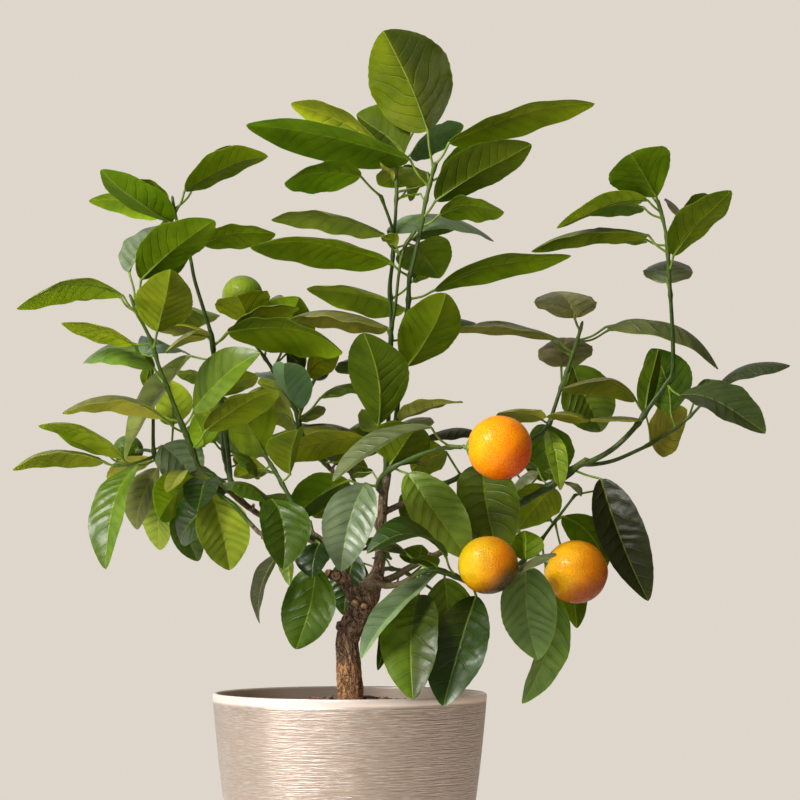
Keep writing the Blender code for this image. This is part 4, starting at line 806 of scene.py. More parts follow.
            (28.2, 285, 14, 292, -34, 297, 24, 30, 104, 6, -4),
            (29, 296, 42, 303, 72, 310, 24, 28, 103, 5, -3),
            (31, 334, 60, 344, 98, 355, 18, 34, 130, 3, 4),
            (31.5, 340, 22, 362, -24, 372, 22, 34, 115, 4, -3),
            (31.5, 340, 44, 378, 40, 414, 30, 38, 150, 3, 4),
            (30.8, 328, 38, 336, 50, 346, 40, 26, 140, 3, 3),
            (26.8, 222, 20, 214, 10, 196, 50, 30, 30, 4, 3),
        ],
    },
    "shoot_back_low": {
        "parent": "trunk",
        "stem": [(18.3, 79, 9.2), (24, 82, 32), (34, 80.5, 56), (46, 74, 78), (58, 66, 94)],
        "thick": (1.7, 0.9),
        "leaves": [
            (21, 80.5, 8, 86, 6, 71, 14, 14, 25, 2, 0),
            (34, 80.5, 31, 70, 36, 34, 24, 34, 20, 4, 4),
            (46, 74, 46, 63, 46, 22, 22, 34, 20, 4, 4),
            (57, 67, 66, 60, 74, 16, 16, 36, 20, 4, 4),
            (40, 77, 48, 84, 48, 98, 18, 28, 150, 3, 3),
            (58, 66, 64, 50, 68, 8, 48, 36, 20, 4, 4),
            (28, 81.5, 20, 92, 22, 103, 22, 24, 150, 2, 3),
        ],
    },
}

# Fruits: centre (x, h, depth), radius, flattening, where the stalk comes from (x, h, depth).
fruitLayout = {
    "mandarin_upper": ((99.8, 162.5, -50), 21.4, 0.99, "shoot_middle", (74, 163, -50)),
    "mandarin_centre": ((92.0, 84.5, -66), 19.6, 0.96, "shoot_low_right", (94, 74, -42)),
    "mandarin_right": ((150.4, 80.0, -22), 21.2, 0.99, "shoot_low_right", (120, 92, -25)),
    "green_high": ((-72, 264.5, 24), 13.9, 0.98, "shoot_left_centre", (-71.5, 250, 18)),
    "green_mid": ((-21, 214.5, 48), 7.6, 0.98, "shoot_left_centre", (-34, 184, 18)),
    "green_left": ((-148, 161, 58), 10.6, 0.98, "shoot_left_mid", (-131, 160, 38)),
}


# How each leaf looks, in the order of its shoot's list: one letter of leafTonesAndLight a leaf.
# Each tone (upper side, underside, gloss) is partly the leaf's own colour and partly painted light and shade: paler for
# lit leaves, darker for shaded ones, much blue for a painted sheen, bright yellow-green for painted light shining
# through.
leafTonesAndLight = {
    "a": ((0.034, 0.062, 0.0030), (0.085, 0.135, 0.0015), 0.40),
    "b": ((0.055, 0.100, 0.0040), (0.115, 0.175, 0.0020), 0.40),
    "c": ((0.085, 0.150, 0.0160), (0.190, 0.260, 0.0080), 0.55),
    "d": ((0.095, 0.150, 0.085), (0.170, 0.230, 0.0300), 0.68),
    "e": ((0.016, 0.034, 0.0020), (0.050, 0.078, 0.0010), 0.55),
    "f": ((0.075, 0.075, 0.0280), (0.130, 0.125, 0.0100), 0.12),
    "g": ((0.072, 0.088, 0.0420), (0.100, 0.115, 0.0120), 0.35),
    "h": ((0.060, 0.085, 0.0060), (0.105, 0.145, 0.0040), 0.30),
    "k": ((0.020, 0.023, 0.0090), (0.045, 0.052, 0.0060), 0.12),
    "m": ((0.075, 0.088, 0.0100), (0.170, 0.195, 0.0060), 0.25),
    "n": ((0.028, 0.066, 0.0030), (0.075, 0.150, 0.0010), 0.35),
    "p": ((0.115, 0.135, 0.0350), (0.220, 0.240, 0.0300), 0.25),
    "q": ((0.010, 0.026, 0.0020), (0.034, 0.056, 0.0010), 0.70),
    "r": ((0.120, 0.160, 0.0140), (0.160, 0.210, 0.0060), 0.30),
    "s": ((0.105, 0.125, 0.0560), (0.140, 0.160, 0.0400), 0.10),
    "y": ((0.160, 0.225, 0.0160), (0.190, 0.245, 0.0080), 0.15),
    "t": ((0.045, 0.072, 0.003), (0.085, 0.135, 0.0015), 0.10),
    "u": ((0.036, 0.080, 0.004), (0.075, 0.150, 0.001), 0.16),
    "i": ((0.088, 0.168, 0.042), (0.110, 0.170, 0.010), 0.75),
    "j": ((0.026, 0.041, 0.010), (0.045, 0.052, 0.006), 0.12),
    "v": ((0.125, 0.125, 0.050), (0.200, 0.190, 0.030), 0.10),
    "w": ((0.130, 0.215, 0.105), (0.130, 0.215, 0.095), 0.14),
    "x": ((0.170, 0.265, 0.020), (0.225, 0.330, 0.020), 0.15),
    "z": ((0.013, 0.014, 0.004), (0.045, 0.052, 0.006), 0.03),
}
# Leaves whose halves differ plainly in the light: their shoot, their order and the share.
leafHalves = {
    "shoot_top_right": {0: -0.60, 3: 0.2},
    "shoot_low_right": {11: -0.55, 12: -0.2},
    "shoot_left_outer": {2: -0.3},
}
# Letters set leaf by leaf: the leaf's own colour together with painted light and shade, darker tones for leaves in
# shade and paler ones for leaves in the light.
leafLooks = {
    "shoot_top_right": "enbeabcaayaeps",
    "shoot_top_left": "yewpnpwybpqcmm",
    "shoot_left_high": "ncbnyypapyaac",
    "shoot_left_outer": "dnhmmcdpbhhqaaaa",
    "shoot_left_mid": "mmpbpwxxbycaaa",
    "shoot_left_centre": "rrgwbeycdpyeg",
    "shoot_left_inner": "hhhae",
    "shoot_left_low": "yq",
    "shoot_front_left": "nhkqu",
    "shoot_middle": "geerdee",
    "shoot_right_inner": "mkteeypmvvvfbaa",
    "shoot_right_arm": "zbgffg",
    "shoot_right_high": "amhafgfpjaaaa",
    "shoot_right_side": "qqpka",
    "shoot_low_right": "eeagiceqkqdhqqb",
    "shoot_back_centre": "abaeabace",
}
leafMake = {
    "rows": 36,
    "columns": (1.0, 0.94, 0.80, 0.62, 0.44, 0.28, 0.14, 0.045),
    "half": 0.15,
    "crease": 0.28,
    "rib": 0.42,
    "wave": 0.045,
    "crimp": 0.010,
    "veinPitch": 9.2,
    "veinLean": 0.66,
    "veinBend": 0.013,
    "pleat": 0.20,
    "point": 0.14,
    "stalkRadius": 0.78,
}
stemMake = {"sides": 10, "parts": 5, "node": 0.42}
veinLook = {
    "meshScale": 0.62,
    "upperRough": 0.30,
    "lowerRough": 0.60,
    "coatRough": 0.33,
    "relief": 0.00080,
}


def makeLeafLook():
    # place is (along, across, vein count), share is (along, across, side) from 0 to 1
    look = Look("leafBlade")
    along, across, count = look.split(look.attribute("place"))
    reach, edge, side = look.split(look.attribute("share"))
    tint = look.attribute("tint", "Color")
    shine = look.attribute("tint", "Alpha")
    upper = look.ramp(side, 0.35, 0.65)
    lower = look.math("SUBTRACT", 1.0, upper)
    apart = look.math("ABSOLUTE", across)
    edgeAway = look.math("ABSOLUTE", edge)
    flat = look.join(along, across, 0.0)
    broad = look.noise(flat, 0.042, 3.0)
    patch = look.noise(flat, 0.11, 3.0, 0.6)
    fine = look.noise(flat, 0.50, 3.0)
    count = look.math("MULTIPLY_ADD", look.math("SUBTRACT", look.noise(flat, 0.22, 2.0), 0.5), 0.16, count)
    near = look.math("PINGPONG", count, 0.5)
    minor = look.math("PINGPONG", look.math("MULTIPLY_ADD", count, 2.0, look.math("MULTIPLY_ADD", fine, 0.4, 0.3)), 0.5)
    fade = look.ramp(edgeAway, 0.55, 0.97, 1.0, 0.10)
    wide = look.ramp(edgeAway, 0.0, 1.0, 0.046, 0.020, False)
    vein = look.math("MULTIPLY", look.ramp(near, 0.0, wide, 1.0, 0.0), fade)
    small = look.math("MULTIPLY", look.ramp(minor, 0.0, 0.05, 1.0, 0.0), look.math("MULTIPLY", fade, 0.28))
    warped = look.vector("ADD", flat, look.vector("SCALE", look.noise(flat, 0.8, 1.0, 0.5, "Color"), None, 1.1))
    web = look.ramp(look.cells(warped, veinLook["meshScale"], "DISTANCE_TO_EDGE"), 0.0, 0.10, 1.0, 0.0)
    ribWide = look.ramp(reach, 0.0, 1.0, 0.85, 0.40, False)
    rib = look.ramp(apart, look.math("MULTIPLY", ribWide, 0.5), ribWide, 1.0, 0.0)
    margin = look.ramp(edgeAway, 0.965, 1.0)
    lines = look.math("MAXIMUM", vein, small)
    groove = look.math("MULTIPLY", look.ramp(near, 0.0, 0.12, 1.0, 0.0), fade)

    pale = look.mix(0.30, look.mix(1.0, tint, (1.9, 1.75, 1.8), "MULTIPLY"), (0.21, 0.26, 0.012))
    deep = look.mix(1.0, tint, (0.50, 0.58, 0.55), "MULTIPLY")
    light = look.mix(1.0, tint, (1.42, 1.28, 1.20), "MULTIPLY")
    body = look.mix(look.ramp(broad, 0.32, 0.68), deep, light)
    body = look.mix(0.40, body, tint)
    body = look.mix(look.math("MULTIPLY", look.ramp(patch, 0.52, 0.72), 0.35), body, light)
    # Painted shade in the grooves along the veins and painted light on the blade puffed up between them.
    between = look.ramp(near, 0.06, 0.44)
    body = look.mix(look.math("MULTIPLY", look.math("SUBTRACT", 1.0, between),
                              look.ramp(upper, 0.0, 1.0, 0.16, 0.30, False)), body, deep)
    body = look.mix(look.math("MULTIPLY", between, look.ramp(upper, 0.0, 1.0, 0.12, 0.24, False)), body, light)
    body = look.mix(look.math("MULTIPLY", lines, look.ramp(upper, 0.0, 1.0, 0.50, 0.42, False)), body, pale)
    body = look.mix(look.math("MULTIPLY", web, look.ramp(upper, 0.0, 1.0, 0.08, 0.05, False)), body, pale)
    body = look.mix(look.math("MULTIPLY", margin, 0.38), body, pale)
    body = look.mix(look.math("MULTIPLY", rib, look.ramp(upper, 0.0, 1.0, 0.70, 0.52, False)), body,
                    look.mix(0.40, pale, (0.20, 0.27, 0.030)))
    dots = look.ramp(look.cells(flat, 1.3, "F1"), 0.10, 0.24, 1.0, 0.0)
    body = look.mix(look.math("MULTIPLY", dots, 0.10), body, pale)
    look.set("Base Color", body)

    gloss = look.ramp(fine, 0.3, 0.8, veinLook["upperRough"] + 0.08, veinLook["upperRough"] + 0.20)
    dull = look.ramp(fine, 0.3, 0.8, veinLook["lowerRough"] - 0.06, veinLook["lowerRough"] + 0.10)
    rough = look.math("ADD", look.math("MULTIPLY", gloss, upper), look.math("MULTIPLY", dull, lower))
    look.set("Roughness", rough)
    look.set("Specular IOR Level", look.ramp(upper, 0.0, 1.0, 0.10, 0.18, False))
    cover = look.math("MULTIPLY", upper, look.ramp(patch, 0.3, 0.7, 1.0, 0.60))
    look.set("Coat Weight", look.math("MULTIPLY", cover, shine))
    look.set("Coat Roughness", veinLook["coatRough"])
    look.set("Coat IOR", 1.45)
    raised = look.math("MULTIPLY", groove, look.ramp(upper, 0.0, 1.0, 0.50, -0.45, False))
    puff = look.math("MULTIPLY", look.math("MULTIPLY", look.ramp(near, 0.0, 0.5), fade),
                     look.ramp(upper, 0.0, 1.0, -0.25, 0.55, False))
    height = look.math("ADD", raised, puff)
    height = look.math("ADD", height, look.math("MULTIPLY", look.noise(flat, 0.12, 1.0), 1.3))
    # slivers at the tip and slanting views can't carry the full relief
    slant = look.tree.nodes.new("ShaderNodeLayerWeight").outputs["Facing"]
    height = look.math("MULTIPLY", height, look.ramp(slant, 0.40, 0.78, 1.0, 0.12))
    height = look.math("MULTIPLY", height, look.ramp(reach, 0.50, 0.92, 1.0, 0.12))
    relief = look.bump(height, veinLook["relief"], 0.9)
    look.set("Normal", relief)
    look.set("Coat Normal", relief)
    look.set("Subsurface Weight", 0.22)
    look.shader.inputs["Subsurface Radius"].default_value = (0.7, 1.0, 0.08)
    look.shader.inputs["Subsurface Scale"].default_value = 0.0009
    return look.made


def makeStemLook():
    """Green stems and stalks: tint is the young colour, share is (age, angle, part)."""
    look = Look("stemGreen")
    along, around, seed = look.split(look.attribute("place"))
    age, angle, part = look.split(look.attribute("share"))
    tint = look.attribute("tint", "Color")
    shift = look.math("MULTIPLY", seed, 9.1)
    long = look.join(look.math("MULTIPLY", along, 0.14), around, shift)
    streak = look.noise(long, 1.1, 3.0)
    patch = look.noise(look.join(along, around, shift), 0.09, 2.0)
    fleck = look.cells(look.join(along, around, shift), 0.8)
    dots = look.ramp(fleck, 0.10, 0.24, 1.0, 0.0)
    brown = look.mix(streak, (0.075, 0.050, 0.024), (0.20, 0.145, 0.075))
    light = look.mix(1.0, tint, (1.6, 1.5, 1.2), "MULTIPLY")
    dark = look.mix(1.0, tint, (0.55, 0.62, 0.65), "MULTIPLY")
    green = look.mix(look.ramp(streak, 0.35, 0.68), dark, light)
    green = look.mix(look.math("MULTIPLY", look.ramp(age, 0.05, 0.22, 1.0, 0.0), 0.34), green, (0.115, 0.165, 0.016))
    old = look.ramp(look.math("ADD", age, look.math("MULTIPLY", look.math("SUBTRACT", patch, 0.5), 0.9)),
                    0.45, 0.85)
    body = look.mix(old, green, brown)
    body = look.mix(look.math("MULTIPLY", dots, 0.35), body, (0.32, 0.34, 0.16))
    look.set("Base Color", body)
    look.set("Roughness", look.ramp(old, 0.0, 1.0, 0.42, 0.75, False))
    look.set("Specular IOR Level", 0.30)
    height = look.math("MULTIPLY_ADD", streak, 0.7, look.math("MULTIPLY", dots, 0.2))
    look.set("Normal", look.bump(height, 0.0003, 0.8))
    return look.made


def nodePoints(name):
    """The CAD node's corners in millimetres, to find where its leaves lie."""
    mesh = bpy.data.objects[name].data
    rows = np.empty(len(mesh.vertices) * 3)
    mesh.vertices.foreach_get("co", rows)
    return rows.reshape(-1, 3) / mm


def bladeWidth(t, power=0.62, lean=0.92):
    return math.sin(math.pi * min(max(t, 0.0), 1.0) ** lean) ** power


def bladeFrame(foot, tip, turn):
    along = unit(tip - foot)
    facing = np.array((0.0, -1.0, 0.0))
    facing = unit(facing - along * np.dot(facing, along))
    upward = np.cross(along, facing)
    if upward[2] < 0:
        upward = -upward
    angle = math.radians(turn)
    normal = math.cos(angle) * facing + math.sin(angle) * upward
    return along, normal, np.cross(normal, along)


class Leaf:
    """A leaf's place in space, from its line in the layout."""

    def __init__(self, root, spec, deeper):
        ax, ah, bx, bh, tx, th, drop, width, turn, arch, cup = spec[:11]
        self.bow = spec[11] if len(spec) > 11 else 0.0
        self.power = spec[12] if len(spec) > 12 else 0.62
        self.lean = spec[13] if len(spec) > 13 else 0.92
        stalkSeen = math.hypot(bx - ax, bh - ah)
        bladeSeen = math.hypot(tx - bx, th - bh)
        total = drop + deeper
        share = stalkSeen / (stalkSeen + max(bladeSeen, abs(total)) + 1e-6)
        self.foot = seen(bx, bh, root[2] + total * share)
        self.tip = seen(tx, th, root[2] + total)
        self.start = seen(root[0], root[1], root[2])
        self.along, self.normal, self.side = bladeFrame(self.foot, self.tip, turn)
        self.length = float(np.linalg.norm(self.tip - self.foot))
        self.width = width
        self.arch = arch
        self.cup = cup

    def centre(self, t):
        return (self.foot + self.along * self.length * t
                + (self.normal * self.arch + self.side * self.bow) * 4 * t * (1 - t))

    def edges(self, t):
        wide = bladeWidth(t, self.power, self.lean)
        up = self.normal * self.cup * wide
        out = self.side * self.width / 2 * wide
        return self.centre(t) + out + up, self.centre(t) - out + up


def rootOn(stems, x, h):
    """Where a stalk leaves the nearest stem of the layout, as (x, h, depth)."""
    best = None
    for stem in stems:
        for index in range(len(stem) - 1):
            first = np.array(stem[index], dtype=float)
            second = np.array(stem[index + 1], dtype=float)
            run = second[:2] - first[:2]
            share = np.dot(np.array((x, h)) - first[:2], run) / max(np.dot(run, run), 1e-9)
            point = first + (second - first) * min(max(share, 0.0), 1.0)
            distance = math.hypot(point[0] - x, point[1] - h)
            if best is None or distance < best[0]:
                best = (distance, point)
    return best[1]


def settle(root, spec, tree):
    """The leaf with the bend in depth that the CAD node's corners show."""
    best = None
    for deeper in (0, 7, -7, 14, -14, 21, -21, 30, -30, 42, -42, 56, -56):
        leaf = Leaf(root, spec, deeper)
        small = spec[7] < 31 or root[2] + spec[6] > hiddenDepth
        away = tree.find(Vector(leaf.tip))[2]
        for t in ((0.25, 0.7) if small else (0.2, 0.5, 0.8)):
            for point in leaf.edges(t):
                away += tree.find(Vector(point))[2]
        if best is None or away < best[0]:
            best = (away, leaf)
    return best


def addBlade(pieces, leaf, tones, draw, halves=None):
    # both faces of a blade as grids that share no corner, with a rim strip between them
    rows = leafMake["rows"]
    shares = [-value for value in leafMake["columns"]] + [0.0] + list(reversed(leafMake["columns"]))
    seed = draw.random()
    waves = draw.uniform(2.2, 3.6)
    phases = (draw.uniform(0, math.tau), draw.uniform(0, math.tau))
    bulge = draw.uniform(0.02, 0.05) * leaf.width
    curl = draw.uniform(-1.0, 1.6)
    twist = draw.uniform(-0.16, 0.16)
    wave = leafMake["wave"] * draw.uniform(0.5, 1.3)
    pitch = leafMake["veinPitch"] * draw.uniform(0.88, 1.15) * min(max(leaf.length / 80, 0.5), 1.15) ** 0.6
    spread = [draw.uniform(0, math.tau) for index in range(4)]
    pleat = leafMake["pleat"] * draw.uniform(0.25, 1.3) * min(leaf.width / 34, 1.2)
    shift = seed * 911.0
    top = []
    low = []
    place = []
    share = []
    for row in range(rows + 1):
        u = row / rows
        t = 0.55 * u + 0.45 * (0.5 - 0.5 * math.cos(math.pi * u))
        wide = bladeWidth(t, leaf.power, leaf.lean)
        wide *= 1 - leafMake["point"] * (max(t - 0.78, 0.0) / 0.22) ** 1.6
        centre = leaf.centre(t) + leaf.normal * curl * math.sin(math.tau * t)
        slope = leaf.arch * 4 * (1 - 2 * t) / leaf.length
        local = unit(leaf.normal - slope * leaf.along)
        turn = twist * math.sin(math.pi * t) * (1 - t)
        side = math.cos(turn) * leaf.side + math.sin(turn) * local
        local = unit(np.cross(leaf.along, side))
        if np.dot(local, leaf.normal) < 0:
            local = -local
        half = leaf.width / 2
        for s in shares:
            edge = abs(s)
            run = leaf.length * t
            apart = edge * half * wide
            veins = (run - leafMake["veinLean"] * apart - leafMake["veinBend"] * apart ** 2) / pitch
            veins += 0.20 * math.sin(run * 0.115 + spread[0]) + 0.12 * math.sin(run * 0.24 + spread[1])
            veins += (0.24 + 0.10 * math.sin(run * 0.17 + spread[2])) * (s > 0)
            fold = 0.5 - 0.5 * math.cos(math.tau * veins)
            fold *= 0.65 + 0.35 * math.sin(veins * 2.3 + spread[3] + (s > 0))
            fold *= min(1.0, edge * 5) * (1 - edge ** 3) * min(1.0, 4 * wide ** 2)
            ripple = math.sin(math.tau * waves * t + phases[0 if s < 0 else 1])
            lift = leaf.cup * wide * (0.55 * edge + 0.45 * edge ** 2)
            lift += bulge * wide * math.sin(math.pi * min(edge * 1.05, 1.0))
            lift += wave * half * wide * edge ** 3 * ripple
            lift += pleat * fold
            out = s * half * wide * (1 + leafMake["crimp"] * edge ** 4
                                          * math.sin(math.tau * t * leaf.length / 4.2 + seed * 9))
            thick = leafMake["half"] * (1 - 0.45 * edge) * (0.35 + 0.65 * min(1.0, (1 - t) * 6))
            rise = 0.0
            drop = 0.0
            if edge < 0.01:
                rise = -leafMake["crease"] * (1 - 0.6 * t) * wide
                drop = leafMake["rib"] * (1 - 0.7 * t)
            elif edge < 0.05:
                drop = leafMake["rib"] * (1 - 0.7 * t) * 0.35
            base = centre + side * out + local * lift
            top.append(base + local * (thick + rise))
            low.append(base - local * (thick + drop))
            place.append((run + shift, out, veins))
            share.append((t, s))
    width = len(shares)
    count = len(top)
    faces = []
    for row in range(rows):
        for column in range(width - 1):
            a = row * width + column
            b = a + width
            faces.append((a, a + 1, b + 1, b))
            faces.append((count + a, count + b, count + b + 1, count + a + 1))
    rim = list(range(0, count, width)) + list(range(rows * width + 1, count))
    rim += list(range(count - 1 - width, 0, -width)) + list(range(width - 2, 0, -1))
    base = 2 * count
    points = top + low + [top[index] for index in rim] + [low[index] for index in rim]
    places = place + place + [place[index] for index in rim] * 2
    points = np.array(points)
    over = np.maximum(points.max(0) - boxHigh, 0) - np.maximum(boxLow - points.min(0), 0)
    points -= np.outer([row[0] for row in share + share] + [share[index][0] for index in rim] * 2, over) * 1.2
    upper = [(t, s, 1.0) for t, s in share]
    lower = [(t, s, 0.0) for t, s in share]
    around = [(share[index][0], share[index][1], 0.5) for index in rim]
    for index in range(len(rim)):
        beyond = (index + 1) % len(rim)
        faces.append((base + index, base + beyond, base + len(rim) + beyond, base + len(rim) + index))
    change = np.array([draw.uniform(0.86, 1.14), draw.uniform(0.90, 1.12), draw.uniform(0.85, 1.15)])
    up = np.array(tones[0]) * change
    down = np.array(tones[1]) * change
    rimTint = (up + down) * 0.75
    # Painted light and shade: one half of the blade lighter and the other darker, as the fold turns them to and from
    # the light; end makes the blade lighter towards one end and darker towards the other.
    lean = draw.uniform(-0.26, 0.26)
    if halves is not None:
        lean = halves
    end = draw.uniform(-0.18, 0.18)
    shade = np.array([1 + lean * math.tanh(s * 7) + end * (2 * t - 1) for t, s in share])[:, None]
    tints = np.vstack((shade * up, shade * down, np.tile(rimTint, (2 * len(rim), 1))))
    tints = np.hstack((tints, np.full((len(tints), 1), tones[2])))
    pieces.add(points, faces, places, upper + lower + around + around, tints, 0)


def addStalk(pieces, leaf, green, draw):
    """The leaf stalk, its joints at both ends, and its run on under the blade as the rib."""
    stalk = unit(leaf.foot - leaf.start)
    rise = unit(leaf.normal - stalk * np.dot(leaf.normal, stalk))
    span = float(np.linalg.norm(leaf.foot - leaf.start))
    middle = (leaf.start + leaf.foot) / 2 - rise * 0.08 * span
    rows = [leaf.start, middle, leaf.foot]
    if span < 4.0:
        rows = [leaf.start, leaf.foot]
    line = list(smooth(rows, 5))
    under = leafMake["half"] + 0.25
    line[-1] = line[-1] - leaf.normal * under * 0.6
    radius = leafMake["stalkRadius"] * (0.72 + 0.28 * min(leaf.width / 36.0, 1.15))
    radii = []
    for index in range(len(line)):
        u = index / (len(line) - 1)
        swell = 0.45 * math.exp(-(u / 0.14) ** 2) + 0.22 * math.exp(-((1 - u) / 0.10) ** 2)
        radii.append(radius * (1.0 + swell))
    for t in (0.06, 0.16, 0.30, 0.48):
        slope = leaf.arch * 4 * (1 - 2 * t) / leaf.length
        local = unit(leaf.normal - slope * leaf.along)
        line.append(leaf.centre(t) - local * (under * (1 - 0.5 * t)))
        radii.append(radius * (0.80 - 1.25 * t) if t < 0.5 else 0.15)
    points, faces, out = tube(line, radii, 8)
    count = len(line)
    length = np.concatenate(([0.0], np.cumsum(np.linalg.norm(np.diff(np.array(line), axis=0), axis=1))))
    place = [(length[index // 8], (index % 8) * 0.6, leaf.width) for index in range(len(points))]
    share = [(0.0, 0.0, 0.0)] * len(points)
    pieces.add(points, faces, place, share, green, 1)


def addStem(pieces, stem, thick, roots, ages, green, seed, draw):
    """A leafy stem: slightly ridged, thicker at each leaf, with a bud at its tip."""
    line = smooth([seen(*point) for point in stem], stemMake["parts"])
    length = np.concatenate(([0.0], np.cumsum(np.linalg.norm(np.diff(line, axis=0), axis=1))))
    total = length[-1]
    knots = []
    for root in roots:
        index = int(np.argmin(np.linalg.norm(line - root, axis=1)))
        knots.append(length[index])
    radii = []
    for index in range(len(line)):
        u = length[index] / total
        radius = thick[0] + (thick[1] - thick[0]) * u
        swell = sum(math.exp(-((length[index] - knot) / 2.4) ** 2) for knot in knots)
        radii.append(radius * (1.0 + stemMake["node"] * min(swell, 1.0)))
    sides = stemMake["sides"]
    ridge = draw.uniform(0, math.tau)
    points, faces, out = tube(line, radii, sides,
                              lambda index, angle: 1 + 0.10 * math.cos(3 * angle + ridge + index * 0.12))
    place = []
    share = []
    for index in range(len(points)):
        ring = index // sides
        angle = math.tau * (index % sides) / sides
        place.append((length[ring], radii[ring] * angle, seed))
        age = ages[0] + (ages[1] - ages[0]) * length[ring] / total
        share.append((age, angle / math.tau, 1.0))
    pieces.add(points, faces, place, share, green, 1)
    tip = line[-1] + unit(line[-1] - line[-2]) * 1.6
    cap, capFaces, capOut = tube([line[-1] - unit(line[-1] - line[-2]) * 0.5, line[-1], tip],
                                 [radii[-1] * 0.8, radii[-1] * 1.05, 0.3], 8)
    pieces.add(cap, capFaces, [(0.0, 0.0, seed)] * len(cap), [(0.0, 0.0, 1.0)] * len(cap), green, 1)


def addFruitStalk(pieces, fruit, green, draw):
    """The fruit's stalk and the five-pointed calyx that sits on the fruit."""
    centre, radius, flatShare, shoot, root = fruit
    middle = seen(*centre)
    start = seen(*root)
    away = unit(start - middle)
    top = middle + away * (radius * 0.985)
    bend = (start + top) / 2 + np.array((0.0, 0.0, 0.8))
    line = smooth([start, bend, top + away * 2.0, top - away * 0.6], 5)
    count = len(line)
    radii = [1.15 + 0.75 * (index / (count - 1)) ** 4 for index in range(count)]
    points, faces, out = tube(line, radii, 10)
    pieces.add(points, faces, [(index * 0.3, 0.0, 3.0) for index in range(len(points))],
               [(0.15, 0.0, 1.0)] * len(points), green, 1)
    side = unit(np.cross(away, (0.31, 0.84, 0.44)))
    up = np.cross(side, away)
    size = 0.26 * radius
    rings = []
    for step, share in enumerate((0.0, 0.35, 0.7, 1.0)):
        for turn in range(30):
            angle = math.tau * turn / 30
            lobe = 0.62 + 0.38 * max(0.0, math.cos(2.5 * (angle % (math.tau / 5)) * 2 - math.pi)) ** 0.8
            reach = size * share * (lobe if share > 0.4 else 0.75)
            drop = radius - math.sqrt(max(radius ** 2 - reach ** 2, 0.0))
            lift = 0.9 - 0.55 * share + 0.25 * math.cos(5 * angle)
            rings.append(top + (side * math.cos(angle) + up * math.sin(angle)) * reach
                         - away * drop + away * lift)
    bottom = [point - away * 1.1 for point in rings[-30:]]
    faces = []
    for ring in range(3):
        for turn in range(30):
            beyond = (turn + 1) % 30
            a = ring * 30
            faces.append((a + turn, a + 30 + turn, a + 30 + beyond, a + beyond))
    for turn in range(30):
        beyond = (turn + 1) % 30
        faces.append((90 + turn, 120 + turn, 120 + beyond, 90 + beyond))
    count = len(rings) + len(bottom)
    pieces.add(rings + bottom, faces, [(index * 0.2, index % 30 * 0.3, 5.0) for index in range(count)],
               [(0.1, 0.0, 1.0)] * count, np.array(green) * 1.1, 1)


def camel(name):
    words = name.split("_")
    return words[0] + "".join(word.capitalize() for word in words[1:])


def makeShoots():
    blade = makeLeafLook()
    stemLook = makeStemLook()
    draw = random.Random(11)
    worst = 0.0
    for name, data in shootLayout.items():
        corners = nodePoints(name)
        tree = KDTree(len(corners))
        for index, corner in enumerate(corners):
            tree.insert(Vector(corner), index)
        tree.balance()
        stems = [data["stem"]] + data.get("twigs", [])
        pieces = Pieces()
        leaves = []
        for spec in data["leaves"]:
            away, leaf = settle(rootOn(stems, spec[0], spec[1]), spec, tree)
            worst = max(worst, away)
            leaves.append(leaf)
        looks = leafLooks.get(name, "")
        hidden = "abhaebachaba"
        for order, leaf in enumerate(leaves):
            letter = looks[order] if order < len(looks) else hidden[order % 12]
            addBlade(pieces, leaf, leafTonesAndLight[letter], draw, leafHalves.get(name, {}).get(order))
            addStalk(pieces, leaf, (0.105, 0.175, 0.014), draw)
        roots = [leaf.start for leaf in leaves]
        green = (0.028, 0.054, 0.008)
        thick = data["thick"]
        for index, stem in enumerate(stems):
            size = thick if index == 0 else (max(thick[1], 0.9), max(thick[1], 0.9))
            ages = (0.52, 0.05) if index == 0 else (0.2, 0.0)
            addStem(pieces, stem, size, roots, ages, green, draw.random(), draw)
        for fruit in fruitLayout.values():
            if fruit[3] == name:
                addFruitStalk(pieces, fruit, (0.13, 0.19, 0.05), draw)
        thing = pieces.build(camel(name), [blade, stemLook])
        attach(thing, "root")
        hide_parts(name)
    print("shoots ready, farthest corner", round(worst, 3), "mm")


makeShoots()


potLook = {
    "metal": (0.345, 0.250, 0.190),
    "groove": (0.30, 0.225, 0.180),
    "inside": (0.58, 0.49, 0.43),
    "rim": (0.90, 0.78, 0.72),
    "rough": 0.36,
    "lip": 1.6,
    "band": 4.5,
    "sides": 192,
}


def potRadius(down):
    return 91.3 - 0.0777 * down - 0.0004 * down * down


def potProfile():
    """The turned wall as (radius, height) from the underside's middle round to the floor inside."""
    rows = [(0.0, 0.9), (baseRadius - 8.0, 0.9), (baseRadius - 6.5, 0.0)]
    for step in range(7):
        angle = math.pi / 2 * step / 6
        rows.append((baseRadius - 1.2 + 1.2 * math.sin(angle), 1.2 - 1.2 * math.cos(angle)))
    for step in range(72):
        down = 167.0 - (167.0 - potLook["band"]) * (step + 1) / 72
        rows.append((potRadius(down) - 0.12, potHeight - down))
    rows.append((potRadius(potLook["band"] - 0.5) - 0.10, potHeight - potLook["band"] + 0.5))
    rows.append((rimRadius - 0.04, potHeight - potLook["band"] + 1.4))
    rows.append((rimRadius, potHeight - 2.2))
    lip = potLook["lip"]
    for step in range(11):
        angle = math.pi * step / 10
        rows.append((rimRadius - lip + lip * math.cos(angle), potHeight - lip + lip * math.sin(angle)))
    for step in range(1, 13):
        down = lip + (potHeight - 6.0 - lip) * (step / 12) ** 1.3
        rows.append((potRadius(down) - wallThick - 0.05, potHeight - down))
    rows.append((0.0, 6.0))
    return rows


